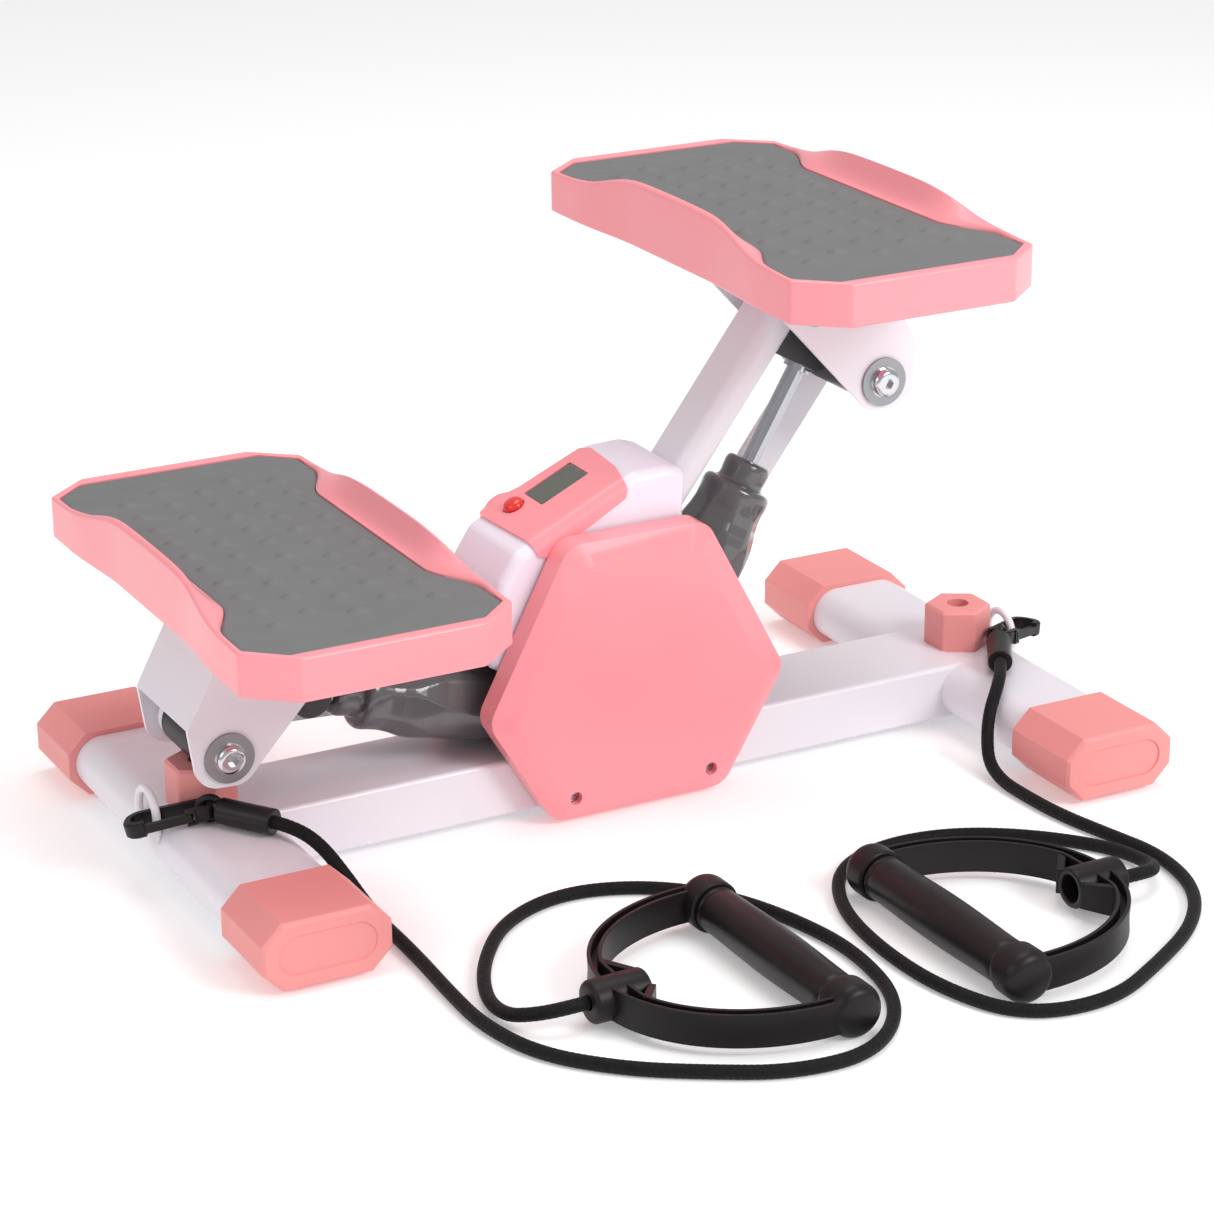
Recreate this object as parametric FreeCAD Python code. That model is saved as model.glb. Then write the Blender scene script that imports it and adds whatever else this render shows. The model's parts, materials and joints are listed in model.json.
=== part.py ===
import FreeCAD, Part
import math
import os

# Twin-pedal stepper with two clip-on resistance bands.
# Millimetres. +X right, -Y front, +Z up. Origin on the floor under the middle of the base.
# Rest position: right pedal up, left pedal down.

os.makedirs("parts", exist_ok=True)
Vec = FreeCAD.Vector
AXIS_X = Vec(1, 0, 0)
AXIS_Y = Vec(0, 1, 0)
AXIS_Z = Vec(0, 0, 1)

# ---- base ----
TUBE_SPACING = 520.0
TUBE_X = TUBE_SPACING / 2
TUBE_HALF_WIDTH = 34.0
TUBE_HALF_HEIGHT = 17.0
TUBE_HALF_LENGTH = 176.0
TUBE_Z = 23.5
WALL = 2.0
BEAM_HALF_WIDTH = 35.0
BEAM_BOTTOM = 6.0
BEAM_TOP = 41.0
BEAM_END = 243.0
CAP_HALF_WIDTH = 38.45
CAP_HALF_HEIGHT = 20.3
CAP_INNER_Y = 121.0
CAP_OUTER_Y = 180.0
CAP_CHAMFER = 12.0
PAD_RADIUS = 15.0
PAD_Y = 150.0
BUMPER_TOP = 67.2
BUMPER_HALF_FLATS = 18.5
RING_X = 293.5
RING_RADIUS = 14.0
RING_WIRE = 2.5

# ---- pivots, as (x, z) ----
AXLE = (0.0, 124.0)
AXLE_RADIUS = 8.0
PLATE_INNER_Y = 35.0
PLATE_THICK = 4.0
ARM_LENGTH = 210.0
ARM_RISE_HIGH = 53.0
ARM_RISE_LOW = 3.0
LINK_OFFSET = (48.0, -52.5)
CYLINDER_PIN = (27.0, 54.5)
ROD_PIN_ALONG = 193.4
ROD_PIN_BELOW = 36.5

# ---- arm, links, cylinders ----
ARM_HALF_WIDTH = 20.0
ARM_HALF_HEIGHT = 10.0
EYE_HALF_LENGTH = 36.5
EYE_RADIUS = 14.0
PIN_RADIUS = 5.0
RUNNING_FIT = 0.05
ROLLER_RADIUS = 15.0
LINK_Y0 = 26.0
LINK_Y1 = 34.0
COLLAR_TOP = 155.0
ROD_RADIUS = 5.75
PISTON_RADIUS = 12.9
ROD_LENGTH = 114.0
ROD_EYE_RADIUS = 14.0
ROD_EYE_BORE = 9.1
ROD_PIN_RADIUS = 4.5

# ---- pedals ----
PEDAL_HALF_WIDTH = 81.0
PEDAL_HALF_LENGTH = 168.0
SKIRT_BOTTOM = 28.0
ROOF_BOTTOM = 46.0
ROOF_TOP = 49.0
RIM_TOP = 54.0
MAT_TOP = 52.5
WING_TOP = 68.0
EAR_OUTER = 40.0
EAR_THICK = 3.0

# ---- console ----
TILT = (ARM_RISE_HIGH - ARM_RISE_LOW) / 2
ARM_NEUTRAL = (ARM_RISE_HIGH + ARM_RISE_LOW) / 2
CONSOLE_HALF_DEPTH = 34.0
CONSOLE_TOP = 70.5
BEZEL_TOP = 74.0
BUTTON_AT = (-20.0, 14.0)

# ---- bands ----
CORD_RADIUS = 4.0
SLEEVE_RADIUS = 7.7
HOOK_THICK = 9.0
HOOK_BAR_X = -23.5
HANDLE_Z = 15.5
GRIP_HALF_LENGTH = 64.0
HUB_END = 117.0
HANDLE_REACH = 98.0
HANDLE_HALF_SPAN = 84.0
HANDLE_BEND_X = -14.0


def save(name, shapes):
    """Write one sub-part; several solids of one kind may share a file."""
    items = shapes if isinstance(shapes, list) else [shapes]
    solids = []
    for item in items:
        solids.extend(item.Solids)
    result = solids[0] if len(solids) == 1 else Part.makeCompound(solids)
    result.exportStep("parts/" + name + ".step")
    volume = sum(solid.Volume for solid in solids)
    print(name, len(solids), "solids", round(volume / 1000.0, 2), "cm3", result.isValid())


def block(x0, x1, y0, y1, z0, z1):
    return Part.makeBox(x1 - x0, y1 - y0, z1 - z0, Vec(x0, y0, z0))


def bar(start, end, radius):
    """Round bar between two points."""
    direction = Vec(*end) - Vec(*start)
    return Part.makeCylinder(radius, direction.Length, Vec(*start), direction)


def bar_y(x, z, y0, y1, radius):
    return bar((x, y0, z), (x, y1, z), radius)


def at_y(y):
    return lambda u, v: Vec(u, y, v)


def at_z(z):
    return lambda u, v: Vec(u, v, z)


def at_x(x):
    return lambda u, v: Vec(x, u, v)


def outline(points, place, radius=0.0):
    """Closed wire through 2D corners; a third value rounds that corner."""
    corners = [Vec(p[0], p[1], 0) for p in points]
    radii = [p[2] if len(p) > 2 else radius for p in points]
    count = len(points)
    entry, exit_, middle = [], [], []
    for i in range(count):
        corner = corners[i]
        back = (corners[i - 1] - corner).normalize()
        ahead = (corners[(i + 1) % count] - corner).normalize()
        half = back.getAngle(ahead) / 2
        if radii[i] <= 0 or half > 1.57:
            entry.append(corner)
            exit_.append(corner)
            middle.append(None)
            continue
        reach = radii[i] / math.tan(half)
        inward = (back + ahead).normalize()
        centre = corner + inward * (radii[i] / math.sin(half))
        entry.append(corner + back * reach)
        exit_.append(corner + ahead * reach)
        middle.append(centre - inward * radii[i])
    edges = []
    for i in range(count):
        if middle[i] is not None:
            arc = [place(p.x, p.y) for p in (entry[i], middle[i], exit_[i])]
            edges.append(Part.Arc(arc[0], arc[1], arc[2]).toShape())
        start = exit_[i]
        end = entry[(i + 1) % count]
        if (end - start).Length > 1e-6:
            edges.append(Part.LineSegment(place(start.x, start.y), place(end.x, end.y)).toShape())
    return Part.Wire(edges)


def slab(points, place, depth, radius=0.0):
    return Part.Face(outline(points, place, radius)).extrude(depth)


def plate_y(points, y0, y1, radius=0.0):
    """Plate in an upright plane, between two values of y."""
    return slab(points, at_y(y0), Vec(0, y1 - y0, 0), radius)


def plate_z(points, z0, z1, radius=0.0):
    return slab(points, at_z(z0), Vec(0, 0, z1 - z0), radius)


def turned(shape, pivot, degrees):
    """Turn about a pivot (x, z) so that +X rises."""
    copy = shape.copy()
    copy.rotate(Vec(pivot[0], 0, pivot[1]), Vec(0, -1, 0), degrees)
    return copy


def moved(shape, x, y, z):
    copy = shape.copy()
    copy.translate(Vec(x, y, z))
    return copy


def mirrored(shape):
    """Left-hand copy of a right-hand shape."""
    return shape.mirror(Vec(0, 0, 0), AXIS_X)


def on_side(shape, side):
    return shape if side > 0 else mirrored(shape)


def both_ends(shape):
    return [shape, shape.mirror(Vec(0, 0, 0), AXIS_Y)]


def hexagon(x, z, across_flats):
    reach = across_flats / math.sqrt(3)
    return [(x + reach * math.cos(math.radians(a)), z + reach * math.sin(math.radians(a)))
            for a in range(0, 360, 60)]


def pivot_bolt(x, z, shank, washer):
    """Socket button-head bolt across two ears, with washers and a hex nut."""
    ear = EAR_OUTER
    head_face = -ear - 2.0
    bolt = bar_y(x, z, head_face, ear + 9.5, shank)
    dome = bar_y(x, z, head_face - 5.0, head_face, 8.75)
    dome = dome.makeFillet(3.2, [e for e in dome.Edges if abs(e.CenterOfMass.y - head_face + 5.0) < 0.01
                                 and e.Length > 30])
    socket = plate_y(hexagon(x, z, 6.0), head_face - 5.0, head_face - 2.0)
    bolt = bolt.fuse(dome).cut(socket)
    front = bar_y(x, z, -ear - 2.0, -ear, washer).cut(bar_y(x, z, -ear - 2.0, -ear, shank))
    rear = moved(front, 0, 2 * ear + 2.0, 0)
    nut = plate_y(hexagon(x, z, 16.0), ear + 2.0, ear + 8.5).cut(bar_y(x, z, ear, ear + 9.0, shank))
    return [bolt.removeSplitter(), front, rear, nut]


# ================= base =================

def stadium(x, half_width, half_height, y0, y1):
    top = TUBE_Z + half_height
    bottom = TUBE_Z - half_height
    flat = half_width - half_height
    edges = [Part.LineSegment(Vec(x - flat, y0, top), Vec(x + flat, y0, top)).toShape(),
             Part.Arc(Vec(x + flat, y0, top), Vec(x + half_width, y0, TUBE_Z),
                      Vec(x + flat, y0, bottom)).toShape(),
             Part.LineSegment(Vec(x + flat, y0, bottom), Vec(x - flat, y0, bottom)).toShape(),
             Part.Arc(Vec(x - flat, y0, bottom), Vec(x - half_width, y0, TUBE_Z),
                      Vec(x - flat, y0, top)).toShape()]
    return Part.Face(Part.Wire(edges)).extrude(Vec(0, y1 - y0, 0))


def cross_tube(x):
    outer = stadium(x, TUBE_HALF_WIDTH, TUBE_HALF_HEIGHT, -TUBE_HALF_LENGTH, TUBE_HALF_LENGTH)
    inner = stadium(x, TUBE_HALF_WIDTH - WALL, TUBE_HALF_HEIGHT - WALL,
                    -TUBE_HALF_LENGTH, TUBE_HALF_LENGTH)
    screw_hole = bar((x, 0, 30), (x, 0, 45), 3.05)
    return outer.cut(inner).cut(screw_hole)


beam = block(-TUBE_X, TUBE_X, -BEAM_HALF_WIDTH, BEAM_HALF_WIDTH, BEAM_BOTTOM, BEAM_TOP)
beam_edges = [e for e in beam.Edges if abs(e.Length - 2 * TUBE_X) < 0.1]
beam = beam.makeFillet(3.0, beam_edges)
beam = beam.cut(block(-TUBE_X, TUBE_X, -BEAM_HALF_WIDTH + WALL, BEAM_HALF_WIDTH - WALL,
                      BEAM_BOTTOM + WALL, BEAM_TOP - WALL))
for side in (-1, 1):
    x = side * TUBE_X
    beam = beam.cut(stadium(x, TUBE_HALF_WIDTH, TUBE_HALF_HEIGHT, -50, 50))
    beam = beam.cut(block(min(x, side * BEAM_END), max(x, side * BEAM_END), -50, 50, 0, 50))
    for y in (-BEAM_HALF_WIDTH, BEAM_HALF_WIDTH):
        for screw_x in (-46, 46):
            beam = beam.cut(bar_y(screw_x, 18.5, y - 3, y + 3, 1.95))
save("base_beam", beam)


def end_cap(x):
    low = TUBE_Z - CAP_HALF_HEIGHT
    high = TUBE_Z + CAP_HALF_HEIGHT
    cut = CAP_CHAMFER
    points = [(x - CAP_HALF_WIDTH + cut, low), (x + CAP_HALF_WIDTH - cut, low),
              (x + CAP_HALF_WIDTH, low + cut), (x + CAP_HALF_WIDTH, high - cut),
              (x + CAP_HALF_WIDTH - cut, high), (x - CAP_HALF_WIDTH + cut, high),
              (x - CAP_HALF_WIDTH, high - cut), (x - CAP_HALF_WIDTH, low + cut)]
    cap = plate_y(points, -CAP_OUTER_Y, -CAP_INNER_Y)
    front_edges = [e for e in cap.Edges if abs(e.CenterOfMass.y + CAP_OUTER_Y) < 0.01]
    cap = cap.makeChamfer(2.0, front_edges)
    cap = cap.cut(stadium(x, 29.0, 11.5, -CAP_OUTER_Y, -CAP_OUTER_Y + 1.2))
    return cap.cut(stadium(x, TUBE_HALF_WIDTH, TUBE_HALF_HEIGHT, -TUBE_HALF_LENGTH, -CAP_INNER_Y))


pads = []
for side, word in ((-1, "left"), (1, "right")):
    x = side * TUBE_X
    save("cross_tube_" + word, cross_tube(x))
    save("end_caps_" + word, both_ends(end_cap(x)))
    for y in (-PAD_Y, PAD_Y):
        pads.append(bar((x, y, 0), (x, y, TUBE_Z - CAP_HALF_HEIGHT), PAD_RADIUS))
    reach = BUMPER_HALF_FLATS * 2 / math.sqrt(3)
    flats = [(x + reach * math.sin(math.radians(a)), reach * math.cos(math.radians(a)))
             for a in range(0, 360, 60)]
    bumper = plate_z(flats, TUBE_Z + TUBE_HALF_HEIGHT, BUMPER_TOP, 3.0)
    top_edges = [e for e in bumper.Edges if abs(e.CenterOfMass.z - BUMPER_TOP) < 0.01]
    bumper = bumper.makeChamfer(1.6, top_edges)
    bumper = bumper.cut(bar((x, 0, 52), (x, 0, BUMPER_TOP), 7.0))
    bumper = bumper.cut(block(x - 30, x + 30, -30, 30, 30, BEAM_TOP).common(
        block(-BEAM_END - 0.1, BEAM_END + 0.1, -30, 30, 30, BEAM_TOP)))
    save("bumper_" + word, bumper.cut(bar((x, 0, 30), (x, 0, 60), 3.05)))
save("foot_pads", pads)

screws = []
for side in (-1, 1):
    x = side * TUBE_X
    screw = bar((x, 0, 52), (x, 0, 55.5), 5.5).fuse(bar((x, 0, 31), (x, 0, 52), 3.0))
    screws.append(screw.cut(plate_z([(p[0], p[1]) for p in hexagon(x, 0, 4.0)], 53.5, 56)))
save("bumper_screws", screws)

rings = []
for side in (-1, 1):
    x = side * RING_X
    foot = 27.0
    spring = 41.0
    left_leg = Part.LineSegment(Vec(x, -RING_RADIUS, foot), Vec(x, -RING_RADIUS, spring)).toShape()
    arch = Part.Arc(Vec(x, -RING_RADIUS, spring), Vec(x, 0, spring + RING_RADIUS),
                    Vec(x, RING_RADIUS, spring)).toShape()
    right_leg = Part.LineSegment(Vec(x, RING_RADIUS, spring), Vec(x, RING_RADIUS, foot)).toShape()
    section = Part.Wire([Part.makeCircle(RING_WIRE, Vec(x, -RING_RADIUS, foot), AXIS_Z)])
    ring = Part.Wire([left_leg, arch, right_leg]).makePipeShell([section], True, True)
    rings.append(ring.cut(stadium(side * TUBE_X, TUBE_HALF_WIDTH, TUBE_HALF_HEIGHT, -50, 50)))
save("band_rings", rings)

PLATE_POINTS = [(-30, 8), (30, 8), (62, 62), (62, 86), (28, 150), (-28, 150), (-62, 86), (-62, 62)]
front_plate = plate_y(PLATE_POINTS, -PLATE_INNER_Y - PLATE_THICK, -PLATE_INNER_Y, 8)
rear_plate = plate_y(PLATE_POINTS, PLATE_INNER_Y, PLATE_INNER_Y + PLATE_THICK, 8)
axle_hole = bar_y(AXLE[0], AXLE[1], -60, 60, AXLE_RADIUS + 0.02)
front_plate = front_plate.cut(axle_hole)
rear_plate = rear_plate.cut(axle_hole)
for side in (-1, 1):
    rear_plate = rear_plate.cut(bar_y(side * LINK_OFFSET[0], AXLE[1] + LINK_OFFSET[1], 30, 45, 6.02))
save("pivot_plates", [front_plate, rear_plate])

axle = bar_y(AXLE[0], AXLE[1], -46.5, 46.5, AXLE_RADIUS)
save("main_axle", axle)
nut = plate_y(hexagon(AXLE[0], AXLE[1], 24), -45.5, -PLATE_INNER_Y - PLATE_THICK)
nut = nut.cut(bar_y(AXLE[0], AXLE[1], -50, 50, AXLE_RADIUS + 0.02))
save("axle_nuts", both_ends(nut))

pins = []
lugs = []
for side in (-1, 1):
    link_x = side * LINK_OFFSET[0]
    link_z = AXLE[1] + LINK_OFFSET[1]
    link_pin = bar_y(link_x, link_z, 23.0, 41.0, 6.0).fuse(bar_y(link_x, link_z, 22.5, 25.7, 10.0))
    link_pin = link_pin.fuse(bar_y(link_x, link_z, 34.2, PLATE_INNER_Y, 9.0))
    pins.append(link_pin.fuse(bar_y(link_x, link_z, 39.0, 42.0, 9.0)).removeSplitter())
    x = side * CYLINDER_PIN[0]
    z = CYLINDER_PIN[1]
    base_pin = bar_y(x, z, -17.0, 17.0, PIN_RADIUS)
    for y0, y1 in ((-18.5, -15.5), (15.5, 18.5)):
        base_pin = base_pin.fuse(bar_y(x, z, y0, y1, 8.0))
    pins.append(base_pin.removeSplitter())
    for y0, y1 in ((-15.5, -11.5), (11.5, 15.5)):
        shape = [(x - 12, BEAM_TOP), (x + 12, BEAM_TOP), (x + 11, z + 11), (x - 11, z + 11)]
        lug = plate_y([shape[0], shape[1], shape[2] + (10.0,), shape[3] + (10.0,)], y0, y1)
        lugs.append(lug.cut(bar_y(x, z, -20, 20, PIN_RADIUS + 0.02)))
save("pivot_pins", pins)
save("cylinder_lugs", lugs)

COVER = [(-46, 176), (46, 176), (100, 73.5), (58, 3.5), (-58, 3.5), (-100, 73.5)]
PLATEAU = [(-36, 161.5), (36, 161.5), (85, 73), (49, 14), (-49, 14), (-85, 73)]
INSIDE = [(-44, 173), (44, 173), (96.5, 73.5), (56, 6.2), (-56, 6.2), (-96.5, 73.5)]
wall_part = plate_y(COVER, -51.0, -36.0, 15)
bevel = Part.makeLoft([outline(COVER, at_y(-51.0), 15), outline(COVER, at_y(-52.0), 15),
                       outline(PLATEAU, at_y(-58.0), 11)], True, True)
cover = wall_part.fuse(bevel).removeSplitter()
cover = cover.cut(plate_y(INSIDE, -50.0, -36.0, 13))
for side in (-1, 1):
    boss = bar_y(side * 46, 18.5, -52.0, -35.0, 6.0)
    cover = cover.fuse(boss)
    cover = cover.cut(bar_y(side * 46, 18.5, -60.0, -50.5, 4.0))
    cover = cover.cut(bar_y(side * 46, 18.5, -60.0, -30.0, 1.95))
cover = cover.removeSplitter()
save("front_cover", cover)
save("rear_cover", cover.mirror(Vec(0, 0, 0), AXIS_Y))
cover_screws = []
for side in (-1, 1):
    screw = bar_y(side * 46, 18.5, -50.5, -30.0, 1.9)
    head = bar_y(side * 46, 18.5, -53.0, -50.5, 3.5)
    slot = block(side * 46 - 2.2, side * 46 + 2.2, -53.5, -52.0, 18.0, 19.0)
    screw = screw.fuse(head).cut(slot)
    cover_screws.extend(both_ends(screw))
save("cover_screws", cover_screws)

# ================= rocker =================

hub = bar_y(AXLE[0], AXLE[1], -30, 30, 22)
hub = hub.cut(bar_y(AXLE[0], AXLE[1], -30, 30, 9.5))
bushes = []
for y0, y1, flange0, flange1 in ((-30, -12, -34.5, -30), (12, 30, 30, 34.5)):
    hub = hub.cut(bar_y(AXLE[0], AXLE[1], y0, y1, 11.0))
    bush = bar_y(AXLE[0], AXLE[1], y0, y1, 11.0).fuse(bar_y(AXLE[0], AXLE[1], flange0, flange1, 16.0))
    bushes.append(bush.cut(bar_y(AXLE[0], AXLE[1], -40, 40, AXLE_RADIUS + RUNNING_FIT)).removeSplitter())
save("rocker_hub", hub)
save("hub_bushes", bushes)


def arm_section(half_width, half_height, corner, x0, x1):
    z = AXLE[1]
    points = [(-half_width, z - half_height), (half_width, z - half_height),
              (half_width, z + half_height), (-half_width, z + half_height)]
    return slab(points, at_x(x0), Vec(x1 - x0, 0, 0), corner)


def arm_shape():
    end = ARM_LENGTH
    arm = arm_section(ARM_HALF_WIDTH, ARM_HALF_HEIGHT, 8.0, 0, end)
    arm = arm.cut(arm_section(ARM_HALF_WIDTH - WALL, ARM_HALF_HEIGHT - WALL, 6.0, 0, end - 14))
    arm = arm.cut(bar_y(AXLE[0], AXLE[1], -40, 40, 22))
    eye = bar_y(end, AXLE[1], -EYE_HALF_LENGTH, EYE_HALF_LENGTH, EYE_RADIUS)
    arm = arm.fuse(eye)
    return arm.cut(bar_y(end, AXLE[1], -40, 40, PIN_RADIUS + RUNNING_FIT)).removeSplitter()


def clevis_shapes():
    """Two plates under the arm and the pin that carries the rod end."""
    x = ROD_PIN_ALONG
    z = AXLE[1] - ROD_PIN_BELOW
    top = AXLE[1] - ARM_HALF_HEIGHT
    result = []
    for y0, y1 in ((-14.5, -10.5), (10.5, 14.5)):
        plate = plate_y([(x - 17, top), (x - 13, z), (x + 13, z), (x + 13, top)], y0, y1)
        plate = plate.fuse(bar_y(x, z, y0, y1, 13.0)).removeSplitter()
        plate = plate.cut(bar_y(ARM_LENGTH, AXLE[1], y0, y1, EYE_RADIUS))
        result.append(plate.cut(bar_y(x, z, -20, 20, ROD_PIN_RADIUS + 0.02)))
    pin = bar_y(x, z, -17.5, 17.5, ROD_PIN_RADIUS)
    for y0, y1 in ((-17.5, -14.5), (14.5, 17.5)):
        pin = pin.fuse(bar_y(x, z, y0, y1, 7.0))
    result.append(pin.removeSplitter())
    return result


RISE = {-1: ARM_RISE_LOW, 1: ARM_RISE_HIGH}
WORD = {-1: "left", 1: "right"}
clevises = []
for side in (-1, 1):
    save("arm_" + WORD[side], on_side(turned(arm_shape(), AXLE, RISE[side]), side))
    for shape in clevis_shapes():
        clevises.append(on_side(turned(shape, AXLE, RISE[side]), side))
save("rod_clevises", clevises)


# ---- console, drawn level about the axle and then tilted ----

def console_place(shape):
    return turned(moved(shape, 0, 0, AXLE[1]), AXLE, TILT)


PROFILE = [(-82, 4, 4), (-90, 16, 5), (-79, 42, 14), (-62, 60, 14), (-45, 70.5, 10),
           (42, 70.5, 12), (62, 62, 12), (73, 52, 8), (60, 30, 8), (52, 4, 4)]
INNER_PROFILE = [(-79.5, -6, 3), (-87.2, 16, 4), (-76.8, 40.6, 12), (-60.6, 57.7, 12), (-44, 68.2, 8),
                 (41.4, 68.2, 10), (60.4, 59.8, 10), (69.8, 51.4, 6), (57.4, 30.4, 6), (47, -6, 3)]
shell = plate_y(PROFILE, -CONSOLE_HALF_DEPTH, CONSOLE_HALF_DEPTH)
rim_edges = [e for e in shell.Edges if abs(abs(e.CenterOfMass.y) - CONSOLE_HALF_DEPTH) < 0.01
             and e.CenterOfMass.z > 4.5]
shell = shell.makeFillet(7.0, rim_edges)
cavity = plate_y(INNER_PROFILE, -CONSOLE_HALF_DEPTH + 2.5, CONSOLE_HALF_DEPTH - 2.5)
cavity_edges = [e for e in cavity.Edges if abs(abs(e.CenterOfMass.y) - CONSOLE_HALF_DEPTH + 2.5) < 0.01
                and e.CenterOfMass.z > -5.0]
cavity = cavity.makeFillet(5.0, cavity_edges)
shell = shell.cut(cavity)
for side in (-1, 1):
    slot_points = [(-20.6, -10.6), (20.6, -10.6), (20.6, 10.6), (-20.6, 10.6)]
    slot = slab(slot_points, at_x(40), Vec(80, 0, 0), 8.5)
    slot.rotate(Vec(0, 0, 0), Vec(0, -1, 0), ARM_NEUTRAL)
    shell = shell.cut(on_side(slot, side))
shell = shell.cut(block(-95, -58, -27, 27, -10, 21))
shell = shell.cut(bar_y(0, 0, -40, 40, 17.5))
shell = shell.cut(block(-8.5, 24.5, -3.5, 19.5, 60, 72))
button_hole = bar((BUTTON_AT[0], BUTTON_AT[1], 60), (BUTTON_AT[0], BUTTON_AT[1], 80), 3.6)
shell = shell.cut(button_hole)
post_points = [(-34, -20), (34, -20), (-34, 24), (34, 24)]
for x, y in post_points:
    shell = shell.fuse(bar((x, y, 62.0), (x, y, 68.5), 3.2))
    shell = shell.cut(bar((x, y, 61.0), (x, y, 67.5), 1.2))
save("console_shell", console_place(shell.removeSplitter()))

BEZEL = [(-37, 31, 4), (-27, 33.5, 5), (-17, 33, 8), (-8, 30, 8), (37, 28, 5), (41, 20, 6), (38.5, -13, 8),
         (31, -27, 8), (23, -33, 5), (-15, -33.5, 6), (-36, -31, 4)]
bezel = plate_z(BEZEL, CONSOLE_TOP, BEZEL_TOP)
bezel_edges = [e for e in bezel.Edges if abs(e.CenterOfMass.z - BEZEL_TOP) < 0.01]
bezel = bezel.makeChamfer(1.2, bezel_edges)
bezel = bezel.cut(block(-9, 25, -4, 20, 60, 80))
bezel = bezel.cut(bar((BUTTON_AT[0], BUTTON_AT[1], 60), (BUTTON_AT[0], BUTTON_AT[1], 80), 7.0))
save("display_bezel", console_place(bezel))
save("lcd_window", console_place(block(-9, 25, -4, 20, 72.0, 73.2)))
save("lcd_panel", console_place(block(-8.4, 24.4, -3.4, 19.4, 66.0, 71.0)))
board = block(-38, 38, -24, 28, 60.2, 61.8)
board = board.cut(bar((BUTTON_AT[0], BUTTON_AT[1], 58), (BUTTON_AT[0], BUTTON_AT[1], 64), 2.0))
for x, y in post_points:
    board = board.cut(bar((x, y, 59), (x, y, 63), 1.6))
save("circuit_board", console_place(board))
battery = bar((24, -20, 47), (-26, -20, 47), 4.0).fuse(bar((26, -20, 47), (24, -20, 47), 2.0))
save("battery", console_place(battery.removeSplitter()))
posts = []
for x, y in post_points:
    posts.append(console_place(bar((x, y, 58.2), (x, y, 60.2), 2.6).fuse(
        bar((x, y, 60.2), (x, y, 67.0), 1.15)).removeSplitter()))
save("shell_screws", posts)
button = bar((BUTTON_AT[0], BUTTON_AT[1], 72.6), (BUTTON_AT[0], BUTTON_AT[1], 77.0), 6.5)
button = button.makeFillet(2.0, [e for e in button.Edges if abs(e.CenterOfMass.z - 77.0) < 0.01
                                 and e.Length > 30])
button = button.fuse(bar((BUTTON_AT[0], BUTTON_AT[1], 64.0), (BUTTON_AT[0], BUTTON_AT[1], 72.6), 3.0))
save("mode_button", console_place(button.removeSplitter()))

# ================= pedals, links, cylinders =================

def pedal_plan(inset):
    w = PEDAL_HALF_WIDTH - inset
    h = PEDAL_HALF_LENGTH - inset
    cx = 27 - 0.45 * inset
    cy = 23 - 0.3 * inset
    quarter = [(w - 4.5, -52, 90), (w - 4.5, 52, 90), (w, 104, 60), (w, h - cy, 5), (w - cx, h, 5)]
    back = [(-p[0], p[1], p[2]) for p in reversed(quarter[2:])]
    left = [(-w + 4.5, 52, 90), (-w + 4.5, -52, 90)]
    lower = [(-w, -104, 60), (-w, -h + cy, 5), (-w + cx, -h, 5)]
    last = [(w - cx, -h, 5), (w, -h + cy, 5), (w, -104, 60)]
    return quarter + back + left + lower + last


def mat_plan(grow):
    quarter = [(62 + grow, 58, 45), (77 + grow, 104, 45), (77 + grow, 141, 6),
               (57 + grow * 0.6, 159 + grow, 6)]
    points = quarter + [(-p[0], p[1], p[2]) for p in reversed(quarter)]
    points += [(-p[0], -p[1], p[2]) for p in quarter]
    points += [(p[0], -p[1], p[2]) for p in reversed(quarter)]
    return points


def tray_shape():
    outer = plate_z(pedal_plan(0), SKIRT_BOTTOM, RIM_TOP)
    tall = plate_z(pedal_plan(0), SKIRT_BOTTOM, WING_TOP + 2)
    side_view = [(-112, 50), (112, 50), (112, RIM_TOP - 0.01), (86, RIM_TOP, 28), (58, WING_TOP, 28),
                 (-58, WING_TOP, 28), (-86, RIM_TOP, 28), (-112, RIM_TOP - 0.01)]
    wings = slab(side_view, at_x(-90), Vec(180, 0, 0)).common(tall)
    hollow = plate_y([(-62, 40), (62, 40), (62, 50), (66, 56, 14), (72.5, 80), (-72.5, 80), (-66, 56, 14),
                      (-62, 50)], -130, 130)
    tray = outer.fuse(wings.cut(hollow)).removeSplitter()
    tray = tray.cut(plate_z(pedal_plan(3.0), SKIRT_BOTTOM, ROOF_BOTTOM))
    tray = tray.cut(plate_z(mat_plan(0.3), ROOF_TOP, RIM_TOP))
    return tray


tray = tray_shape()
mat = plate_z(mat_plan(0.0), ROOF_TOP, MAT_TOP)
mat = mat.makeChamfer(0.8, [e for e in mat.Edges if abs(e.CenterOfMass.z - MAT_TOP) < 0.01])
FLANGE_SCREWS = [(-43, -28), (-43, 28), (28, -28), (28, 28)]
for x, y in FLANGE_SCREWS:
    tray = tray.cut(bar((x, y, 40), (x, y, 60), 3.02))


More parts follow.
